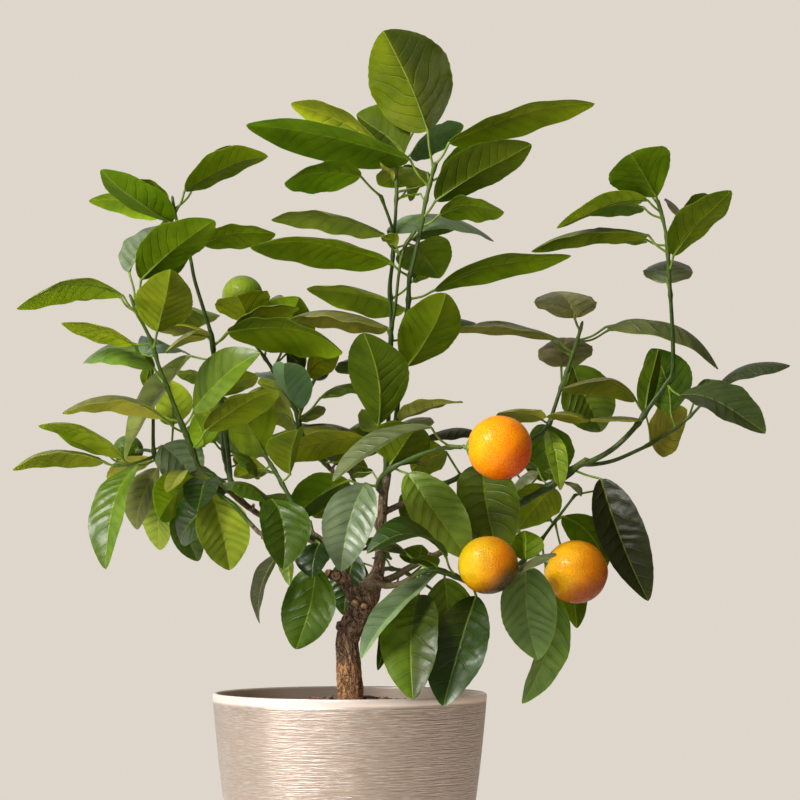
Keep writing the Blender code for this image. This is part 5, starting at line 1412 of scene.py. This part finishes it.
def makePotLook():
    """Brushed metal: share.x is 1 on the ribbed outside, share.y is 1 on the inside."""
    look = Look("potMetal")
    place = look.tree.nodes.new("ShaderNodeTexCoord").outputs["Object"]
    ribbed, inner, under = look.split(look.attribute("share"))
    x, y, z = look.split(place)
    wave = look.math("MULTIPLY_ADD", look.noise(place, 12.0, 2.0), 0.0022, z)
    long = look.join(look.math("MULTIPLY", x, 40.0), look.math("MULTIPLY", y, 40.0),
                     look.math("MULTIPLY", wave, 1050.0))
    ribs = look.noise(long, 1.0, 3.0, 0.62)
    longer = look.join(look.math("MULTIPLY", x, 120.0), look.math("MULTIPLY", y, 120.0),
                       look.math("MULTIPLY", wave, 2600.0))
    hair = look.noise(longer, 1.0, 2.0, 0.6)
    cloud = look.noise(place, 22.0, 3.0)
    groove = look.math("MULTIPLY", look.ramp(ribs, 0.34, 0.50, 1.0, 0.0), ribbed)
    metal = look.mix(look.ramp(cloud, 0.3, 0.7), potLook["metal"],
                     tuple(value * 0.88 for value in potLook["metal"]))
    metal = look.mix(look.math("MULTIPLY", groove, 0.45), metal, potLook["groove"])
    metal = look.mix(look.math("MULTIPLY", look.ramp(hair, 0.46, 0.66), 0.34), metal, (0.80, 0.80, 0.82))
    band = look.math("MULTIPLY", look.math("SUBTRACT", 1.0, ribbed), look.math("SUBTRACT", 1.0, inner))
    metal = look.mix(band, metal, potLook["rim"])
    metal = look.mix(inner, metal, look.mix(cloud, potLook["inside"], (0.40, 0.31, 0.26)))
    metal = look.mix(under, metal, (0.16, 0.14, 0.13))
    look.set("Base Color", metal)
    look.set("Metallic", look.math("SUBTRACT", 0.60, look.math("MULTIPLY", under, 0.4)))
    rough = look.ramp(hair, 0.25, 0.75, potLook["rough"] - 0.06, potLook["rough"] + 0.08)
    rough = look.math("ADD", rough, look.math("MULTIPLY", groove, 0.12))
    look.set("Roughness", look.math("ADD", rough, look.math("MULTIPLY", inner, 0.12)))
    height = look.math("MULTIPLY", look.math("MULTIPLY_ADD", ribs, 1.0, look.math("MULTIPLY", hair, 0.30)),
                       look.ramp(ribbed, 0.0, 1.0, 0.07, 1.0, False))
    relief = look.bump(height, 0.0010, 0.9)
    look.set("Normal", relief)
    look.set("Coat Weight", look.math("MULTIPLY", ribbed, 1.0))
    look.set("Coat Roughness", 0.34)
    look.set("Coat IOR", 2.2)
    look.set("Coat Normal", relief)
    return look.made


def makePot():
    rows = potProfile()
    sides = potLook["sides"]
    points = []
    share = []
    for radius, height in rows[1:-1]:
        outside = 0.0
        for step in range(sides):
            angle = math.tau * step / sides
            points.append((radius * math.cos(angle), radius * math.sin(angle), height))
            share.append(None)
    faces = []
    rings = len(rows) - 2
    for ring in range(rings - 1):
        a = ring * sides
        b = a + sides
        for step in range(sides):
            beyond = (step + 1) % sides
            faces.append((a + step, a + beyond, b + beyond, b + step))
    points.append((0.0, 0.0, rows[0][1]))
    points.append((0.0, 0.0, rows[-1][1]))
    bottom = rings * sides
    last = (rings - 1) * sides
    for step in range(sides):
        beyond = (step + 1) % sides
        faces.append((bottom, beyond, step))
        faces.append((bottom + 1, last + step, last + beyond))
    top = next(index for index, row in enumerate(rows) if row[1] > potHeight - 0.01) - 1
    share = []
    for ring in range(rings):
        radius, height = rows[ring + 1]
        if ring > top:
            share.extend([(0.0, 1.0, 0.0)] * sides)
        elif height < 0.5 or radius < baseRadius - 6.0:
            share.extend([(0.0, 0.0, 1.0)] * sides)
        elif height < potHeight - potLook["band"]:
            share.extend([(1.0, 0.0, 0.0)] * sides)
        else:
            share.extend([(0.0, 0.0, 0.0)] * sides)
    share.extend([(0.0, 0.0, 1.0), (0.0, 1.0, 0.0)])
    pieces = Pieces()
    pieces.add(points, faces, [(0.0, 0.0, 0.0)] * len(points), share, (1.0, 1.0, 1.0))
    thing = pieces.build("potTurned", [makePotLook()])
    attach(thing, "root")
    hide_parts("pot")
    print("pot ready")


soilDowns = (24.0, 85.0, 160.0)
soilLook = {"crumbs": 520, "dark": (0.030, 0.016, 0.010), "bark": (0.170, 0.075, 0.040)}


def soilHeight(x, y):
    radius = math.hypot(x, y)
    share = min(max((radius - 9.0) / 76.0, 0.0), 1.0)
    bump = noise.noise(Vector((x * 0.09, y * 0.09, 3.1))) * 1.6 + noise.noise(Vector((x * 0.4, y * 0.4, 7.7))) * 0.7
    return potHeight - 5.2 - 8.0 * share ** 1.4 + bump


def makeSoilLook():
    look = Look("soilBark")
    place = look.tree.nodes.new("ShaderNodeTexCoord").outputs["Object"]
    tint = look.attribute("tint", "Color")
    grain = look.noise(place, 900.0, 4.0, 0.65)
    blot = look.noise(place, 190.0, 2.0)
    body = look.mix(look.ramp(grain, 0.32, 0.68), look.mix(1.0, tint, (0.35, 0.33, 0.32), "MULTIPLY"),
                    look.mix(1.0, tint, (1.35, 1.25, 1.15), "MULTIPLY"))
    body = look.mix(look.math("MULTIPLY", look.ramp(blot, 0.45, 0.7), 0.4), body, soilLook["dark"])
    look.set("Base Color", body)
    look.set("Roughness", look.ramp(grain, 0.3, 0.7, 0.95, 0.78))
    look.set("Normal", look.bump(look.math("MULTIPLY_ADD", grain, 1.0, blot), 0.0007, 0.9))
    return look.made


def makeSoil():
    """A crumbly mound with loose chips of bark and grit pressed into it."""
    draw = random.Random(23)
    pieces = Pieces()
    wall = potRadius(13.0) - wallThick - 0.7
    rings = 44
    turns = 120
    points = []
    for ring in range(rings + 1):
        radius = 6.0 + (wall - 6.0) * ring / rings
        for turn in range(turns):
            angle = math.tau * turn / turns
            x = radius * math.cos(angle)
            y = radius * math.sin(angle)
            points.append((x, y, soilHeight(x, y)))
    for down in soilDowns:
        radius = potRadius(down) - wallThick - 0.7
        for turn in range(turns):
            angle = math.tau * turn / turns
            points.append((radius * math.cos(angle), radius * math.sin(angle), potHeight - down))
    faces = []
    for ring in range(rings + len(soilDowns)):
        for turn in range(turns):
            beyond = (turn + 1) % turns
            a = ring * turns
            b = a + turns
            faces.append((a + turn, b + turn, b + beyond, a + beyond))
    faces.append(tuple(reversed(range(turns))))
    last = (rings + len(soilDowns)) * turns
    faces.append(tuple(range(last, last + turns)))
    tints = []
    for x, y, z in points:
        shade = 0.75 + 0.5 * noise.noise(Vector((x * 0.2, y * 0.2, 1.0)))
        tints.append((0.105 * shade, 0.052 * shade, 0.031 * shade))
    pieces.add(points, faces, points, [(0.0, 0.0, 0.0)] * len(points), tints)
    ball = bmesh.new()
    bmesh.ops.create_icosphere(ball, subdivisions=2, radius=1.0)
    shape = np.array([vert.co[:] for vert in ball.verts])
    shapeFaces = [tuple(vert.index for vert in face.verts) for face in ball.faces]
    ball.free()
    for count in range(soilLook["crumbs"]):
        radius = math.sqrt(draw.uniform(0.025, 1.0)) * (wall - 4.0)
        angle = draw.uniform(0, math.tau)
        if count < 90:
            radius = draw.uniform(wall - 11.0, wall - 3.5)
            angle = math.radians(draw.choice((draw.uniform(218, 256), draw.uniform(258, 288))))
        x = radius * math.cos(angle)
        y = radius * math.sin(angle)
        big = draw.random()
        size = np.array((draw.uniform(1.6, 4.8), draw.uniform(1.2, 2.8), draw.uniform(0.6, 1.5)))
        if big < 0.35:
            size = np.array((draw.uniform(0.8, 1.6),) * 3) * np.array((1.0, 0.9, 0.8))
        if count < 90:
            size = size * draw.uniform(1.0, 1.6)
        seed = draw.uniform(0, 99)
        lumps = np.array([1 + 0.30 * noise.noise(Vector(point) * 1.3 + Vector((seed, 0, 0)))
                          for point in shape])
        body = np.sign(shape) * np.abs(shape) ** 0.75 * lumps[:, None] * size
        tilt = draw.uniform(-0.7, 0.7)
        roll = draw.uniform(-0.5, 0.5)
        turn = draw.uniform(0, math.tau)
        rx = np.array(((1, 0, 0), (0, math.cos(tilt), -math.sin(tilt)), (0, math.sin(tilt), math.cos(tilt))))
        ry = np.array(((math.cos(roll), 0, math.sin(roll)), (0, 1, 0), (-math.sin(roll), 0, math.cos(roll))))
        rz = np.array(((math.cos(turn), -math.sin(turn), 0), (math.sin(turn), math.cos(turn), 0), (0, 0, 1)))
        body = body @ (rz @ ry @ rx).T
        body = body + np.array((x, y, soilHeight(x, y) + size[2] * draw.uniform(0.1, 0.8)
                                + (draw.uniform(0.5, 4.0) if count < 90 else 0.0)))
        far = np.hypot(body[:, 0], body[:, 1])
        squeeze = np.minimum(1.0, (wall - 0.5) / np.maximum(far, 1e-6))
        body[:, 0] *= squeeze
        body[:, 1] *= squeeze
        shade = draw.uniform(0.5, 1.5)
        tint = np.array(soilLook["bark"]) * shade
        if draw.random() < 0.3:
            tint = np.array((0.075, 0.045, 0.03)) * shade
        elif draw.random() < 0.12:
            tint = np.array((0.30, 0.20, 0.12)) * shade
        pieces.add(body, shapeFaces, body, [(0.0, 0.0, 0.0)] * len(body), tint)
    thing = pieces.build("soilMound", [makeSoilLook()])
    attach(thing, "root")
    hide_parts("soil")
    print("soil ready")


# Stubs, knobs and cuts of the trunk: (x, h, depth) and how far the end lies from it, then radius.
trunkStubs = [
    ((-12, 77, -5), (-16.5, 80, -6), 2.7), ((-6, 73, -5), (-9.5, 77.5, -8), 2.3),
    ((-27, 107, -6), (-31, 112, -7), 2.0), ((-25, 106, -6), (-27, 114, -8), 1.4),
    ((5, 62, -8), (3.2, 58.7, -12.3), 2.8), ((9, 60, -7), (9.8, 56.8, -11.6), 2.6),
    ((3, 69, -7), (1.2, 71, -9.5), 1.8), ((-4, 33, -6), (-6, 32, -8.5), 1.7),
    ((-3, 44, -3), (-8.6, 44.6, -3), 3.0), ((-6, 30, -2), (-9.6, 31.5, -2.4), 0.7),
    ((20, 90, 2), (15, 89, -1), 0.9), ((20, 75, -3), (22.5, 72.5, -5.5), 1.7),
    ((-57, 105, -17), (-58.5, 102, -18), 1.4), ((-42, 109, 3), (-41, 113, 2), 1.2),
    ((-66, 121, 10), (-64, 125, 9), 1.4), ((-12, 148, 23), (-10, 152, 22), 1.3),
    ((54, 89, -6), (53, 92.5, -7), 1.3), ((76, 101, 3), (75, 104.5, 2), 1.5),
]
trunkCuts = [(-16.5, 80, -6, 3.4), (-9.5, 77.5, -8, 2.9), (3.1, 58.5, -12.7, 3.0), (9.8, 56.6, -12.0, 2.8),
             (-31, 112, -7, 1.9), (-64, 125, 9, 1.3), (75, 104.5, 2, 1.3)]
trunkLook = {"voxel": 0.62, "fissure": 1.15, "parts": 8}


def makeBarkLook():
    """place follows the grain in mm; share is (age, cut, upper height)."""
    look = Look("barkRough")
    grain = look.attribute("place")
    age, cut, low = look.split(look.attribute("share"))
    x, y, z = look.split(grain)
    stretched = look.join(x, y, look.math("MULTIPLY", z, 0.30))
    fissure = look.noise(stretched, 0.62, 5.0, 0.62)
    ridge = look.math("ABSOLUTE", look.math("SUBTRACT", look.noise(stretched, 0.36, 3.0, 0.55), 0.5))
    crack = look.ramp(ridge, 0.0, 0.045, 1.0, 0.0)
    fine = look.noise(grain, 1.6, 4.0, 0.6)
    broad = look.noise(grain, 0.11, 2.0)
    flake = look.noise(look.join(x, y, look.math("MULTIPLY", z, 1.6)), 0.55, 4.0, 0.6)
    old = look.mix(look.ramp(fissure, 0.36, 0.62), (0.085, 0.046, 0.028), (0.380, 0.235, 0.150))
    old = look.mix(look.math("MULTIPLY", look.ramp(fine, 0.48, 0.70), 0.65), old, (0.50, 0.345, 0.240))
    scaly = look.mix(look.ramp(flake, 0.36, 0.60), (0.120, 0.046, 0.016), (0.54, 0.245, 0.092))
    scaly = look.mix(look.math("MULTIPLY", look.ramp(fine, 0.47, 0.66), 0.65), scaly, (0.66, 0.44, 0.26))
    old = look.mix(look.math("MULTIPLY", low, look.ramp(broad, 0.25, 0.55, 0.70, 1.0)), old, scaly)
    old = look.mix(look.math("MULTIPLY", crack, 0.62), old, (0.014, 0.009, 0.006))
    young = look.mix(look.ramp(fine, 0.3, 0.7), (0.055, 0.038, 0.022), (0.165, 0.118, 0.070))
    young = look.mix(look.ramp(broad, 0.46, 0.62), young, look.mix(fine, (0.060, 0.060, 0.022), (0.12, 0.115, 0.048)))
    body = look.mix(look.ramp(age, 0.22, 0.52), young, old)
    rings = look.noise(grain, 1.1, 2.0)
    wood = look.mix(look.ramp(rings, 0.35, 0.60), (0.34, 0.170, 0.075), (0.78, 0.520, 0.290))
    body = look.mix(look.math("MULTIPLY", look.ramp(cut, 0.12, 0.42), 0.75), body, (0.030, 0.017, 0.011))
    body = look.mix(look.ramp(cut, 0.55, 0.72), body, wood)
    look.set("Base Color", body)
    look.set("Roughness", look.ramp(fine, 0.3, 0.7, 0.95, 0.70))
    height = look.math("MULTIPLY_ADD", fissure, 1.0, look.math("MULTIPLY", fine, 0.35))
    height = look.math("ADD", height, look.math("MULTIPLY", flake, look.math("MULTIPLY", low, 0.8)))
    height = look.math("SUBTRACT", height, look.math("MULTIPLY", crack, 0.7))
    height = look.math("MULTIPLY", height, look.ramp(age, 0.2, 0.8, 0.30, 1.0))
    look.set("Normal", look.bump(height, 0.0026, 1.0))
    return look.made


def makeTrunk():
    lines = []
    rough = bmesh.new()

    def addTube(points, radii, sides):
        ring, faces, out = tube(points, radii, sides)
        verts = [rough.verts.new(point) for point in ring]
        for face in faces:
            rough.faces.new([verts[index] for index in face])

    for name, rows in woodLines.items():
        curve = smooth([(*seen(x, h, depth), radius) for x, h, depth, radius in rows], trunkLook["parts"])
        lines.append(curve)
        addTube(curve[:, :3], curve[:, 3], 24)
    for start, end, radius in trunkStubs:
        first = seen(*start)
        second = seen(*end)
        way = unit(second - first)
        rows = [first - way * 1.0, (first + second) / 2, second, second + way * 0.4]
        addTube(rows, [radius * 1.25, radius * 1.02, radius, radius * 0.75], 14)
        worn = 6.5 if start[1] < 80 and abs(start[0]) < 35 else radius * 3.0
        lines.append(np.array([(*point, worn) for point in rows]))
    mesh = bpy.data.meshes.new("rough")
    bmesh.ops.recalc_face_normals(rough, faces=rough.faces)
    rough.to_mesh(mesh)
    rough.free()
    thing = bpy.data.objects.new("rough", mesh)
    bpy.context.scene.collection.objects.link(thing)
    remesh = thing.modifiers.new("remesh", "REMESH")
    remesh.mode = "VOXEL"
    remesh.voxel_size = trunkLook["voxel"]
    soften = thing.modifiers.new("soften", "SMOOTH")
    soften.factor = 0.5
    soften.iterations = 4
    view = bpy.context.evaluated_depsgraph_get()
    fused = bpy.data.meshes.new_from_object(thing.evaluated_get(view))
    bpy.data.objects.remove(thing)
    count = len(fused.vertices)
    rows = np.empty(count * 3)
    fused.vertices.foreach_get("co", rows)
    points = rows.reshape(-1, 3)
    normals = np.empty(count * 3)
    fused.vertices.foreach_get("normal", normals)
    normals = normals.reshape(-1, 3)
    samples = np.vstack([line for line in lines])
    starts = np.concatenate([np.concatenate(([0.0], np.cumsum(np.linalg.norm(np.diff(line[:, :3], axis=0), axis=1))))
                             for line in lines])
    ahead = np.vstack([np.gradient(line[:, :3], axis=0) for line in lines])
    ahead /= np.maximum(np.linalg.norm(ahead, axis=1), 1e-9)[:, None]
    tree = KDTree(len(samples))
    for index, sample in enumerate(samples):
        tree.insert(Vector(sample[:3]), index)
    tree.balance()
    cuts = [(seen(x, h, depth), size) for x, h, depth, size in trunkCuts]
    place = np.zeros((count, 3))
    share = np.zeros((count, 3))
    moved = points.copy()
    for index in range(count):
        point = points[index]
        near = tree.find(Vector(point))[1]
        radius = samples[near, 3]
        forward = ahead[near]
        offset = point - samples[near, :3]
        run = float(np.dot(offset, forward))
        out = offset - forward * run
        along = starts[near] + run
        age = min(max((radius - 1.6) / 4.5, 0.0), 1.0)
        cut = 0.0
        for centre, size in cuts:
            gap = float(np.linalg.norm(point - centre))
            cut = max(cut, min(max(1.75 - gap / size, 0.0), 1.0))
        place[index] = (out[0] + out[2] * 0.3 * abs(forward[0]), out[1], along)
        grain = Vector((point[0] * 0.34, point[1] * 0.34, point[2] * 0.085))
        ridge = noise.noise(grain) + 0.5 * noise.noise(grain * 2.3 + Vector((5, 1, 2)))
        lump = noise.noise(Vector(point) * 0.10)
        depth = trunkLook["fissure"] * age * (1 - cut)
        moved[index] = point + normals[index] * (depth * (0.75 * ridge + 0.55 * lump) - 0.25 * age
                                                 + 0.16 * noise.noise(Vector(point) * 0.55))
        low = min(max((potHeight + 25.0 - point[2]) / 9.0, 0.0), 1.0)
        share[index] = (age, cut, low * age)
    faces = [tuple(face.vertices) for face in fused.polygons]
    bpy.data.meshes.remove(fused)
    pieces = Pieces()
    pieces.add(moved, faces, place, share, (0.2, 0.14, 0.09))
    made = pieces.build("trunkBark", [makeBarkLook()])
    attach(made, "root")
    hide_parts("trunk")
    print("trunk ready", len(faces), "faces")


fruitMake = {"sides": 112, "rings": 64, "pore": 0.95}
# Per fruit: its body colour, a paler colour painted as light on the side towards the key lamp, how much of that paler
# colour shows, and a darker colour painted as shade on the lower right.
fruitTonesAndLight = {
    "mandarin_upper": ((0.88, 0.235, 0.001), (0.92, 0.400, 0.002), 0.8, (0.58, 0.075, 0.001)),
    "mandarin_centre": ((0.62, 0.180, 0.001), (0.50, 0.345, 0.002), 1.3, (0.040, 0.024, 0.0005)),
    "mandarin_right": ((0.54, 0.150, 0.001), (0.78, 0.440, 0.003), 1.1, (0.27, 0.050, 0.0005)),
    "green_high": ((0.120, 0.205, 0.008), (0.27, 0.38, 0.022), 1.0, (0.125, 0.150, 0.022)),
    "green_mid": ((0.042, 0.095, 0.005), (0.08, 0.155, 0.009), 0.5, (0.024, 0.048, 0.003)),
    "green_left": ((0.045, 0.100, 0.005), (0.085, 0.160, 0.009), 0.5, (0.028, 0.052, 0.003)),
}


def makeRindLook():
    """Rind with oil pores: tint is its colour with painted light and shade, place is on the fruit in mm."""
    look = Look("rindPored")
    place = look.attribute("place")
    calyx, pole, ripe = look.split(look.attribute("share"))
    tint = look.attribute("tint", "Color")
    wobble = look.vector("ADD", place, look.vector("SCALE", look.noise(place, 0.5, 1.0, 0.5, "Color"), None, 1.2))
    pores = look.cells(wobble, fruitMake["pore"], "F1")
    small = look.cells(place, 1.9, "F1")
    pit = look.ramp(pores, 0.05, 0.55, 1.0, 0.0)
    tiny = look.ramp(small, 0.0, 0.45, 1.0, 0.0)
    cloud = look.noise(place, 0.11, 3.0)
    body = look.mix(look.ramp(cloud, 0.3, 0.7), tint, look.mix(1.0, tint, (0.88, 0.80, 0.72), "MULTIPLY"))
    body = look.mix(look.math("MULTIPLY", look.math("MAXIMUM", pit, look.math("MULTIPLY", tiny, 0.6)), 0.05), body, look.mix(1.0, tint, (0.78, 0.66, 0.5), "MULTIPLY"))
    body = look.mix(look.math("MULTIPLY", calyx, 0.55), body, (0.24, 0.30, 0.035))
    look.set("Base Color", body)
    look.set("Roughness", look.ramp(cloud, 0.3, 0.7, 0.22, 0.29))
    look.set("Specular IOR Level", 0.24)
    height = look.math("SUBTRACT", 1.0, look.math("MULTIPLY_ADD", pit, 0.8, look.math("MULTIPLY", tiny, 0.2)))
    look.set("Normal", look.bump(height, 0.00032, 1.0))
    look.set("Subsurface Weight", 0.10)
    look.shader.inputs["Subsurface Radius"].default_value = (1.0, 0.45, 0.1)
    look.shader.inputs["Subsurface Scale"].default_value = 0.0010
    return look.made


def makeFruits():
    looks = makeRindLook()
    draw = random.Random(4)
    for name, fruit in fruitLayout.items():
        centre, radius, flatShare, shoot, root = fruit
        middle = seen(*centre)
        pole = unit(seen(*root) - middle)
        side = unit(np.cross(pole, (0.2, 0.9, 0.35)))
        up = np.cross(side, pole)
        first, second, share, under = fruitTonesAndLight[name]
        seed = draw.uniform(0, 50)
        sides = fruitMake["sides"]
        rings = fruitMake["rings"]
        points = []
        tints = []
        shares = []
        places = []
        rows = [(0.0, 0)] + [(math.pi * ring / rings, step) for ring in range(1, rings) for step in range(sides)]
        rows.append((math.pi, 0))
        for polar, step in rows:
            angle = math.tau * step / sides
            way = (math.cos(polar) * pole + math.sin(polar) * (math.cos(angle) * side + math.sin(angle) * up))
            dip = 0.052 * math.exp(-(polar / 0.24) ** 2) + 0.022 * math.exp(-((math.pi - polar) / 0.22) ** 2)
            crease = 0.010 * math.exp(-(polar / 0.45) ** 2) * math.cos(9 * angle + seed)
            lump = 0.012 * noise.noise(Vector(way) * 1.6 + Vector((seed, 0, 0)))
            reach = radius * (1.0 - 0.008 - dip + crease + lump)
            point = way * reach
            place = point.copy()
            point[2] *= flatShare
            points.append(middle + point)
            places.append(place + seed)
            # Painted light and shade: the upper left front, towards the key lamp, turns to the paler colour and the
            # lower right to the darker shade colour; a random mottle adds real blush and breaks up both edges.
            blushAndLightEdge = 0.5 + 0.5 * noise.noise(Vector(way) * 1.1 + Vector((seed, 3, 0)))
            left = 0.35 * blushAndLightEdge + 0.8 * max(0.0, -0.75 * way[0] + 0.3 * way[2] - 0.25 * way[1])
            litShare = min(max(share * left, 0.0), 1.0)
            tone = np.array(first) * (1 - litShare) + np.array(second) * litShare
            low = (-0.60 * way[2] + 0.50 * way[0] - 0.16 + 0.35 * (blushAndLightEdge - 0.5)) / 0.42
            low = min(max(low, 0.0), 1.0)
            tints.append(tone * (1 - low) + np.array(under) * low)
            shares.append((math.exp(-(polar / 0.30) ** 2), polar / math.pi, 1.0))
        faces = []
        last = len(points) - 1
        for step in range(sides):
            beyond = (step + 1) % sides
            faces.append((0, 1 + step, 1 + beyond))
            base = 1 + (rings - 2) * sides
            faces.append((last, base + beyond, base + step))
            for ring in range(rings - 2):
                a = 1 + ring * sides
                b = a + sides
                faces.append((a + step, b + step, b + beyond, a + beyond))
        pieces = Pieces()
        pieces.add(points, faces, places, shares, tints)
        thing = pieces.build(camel(name) + "Fruit", [looks])
        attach(thing, "root")
        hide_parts(name)
    print("fruits ready")


makePot()
makeSoil()
makeTrunk()
makeFruits()
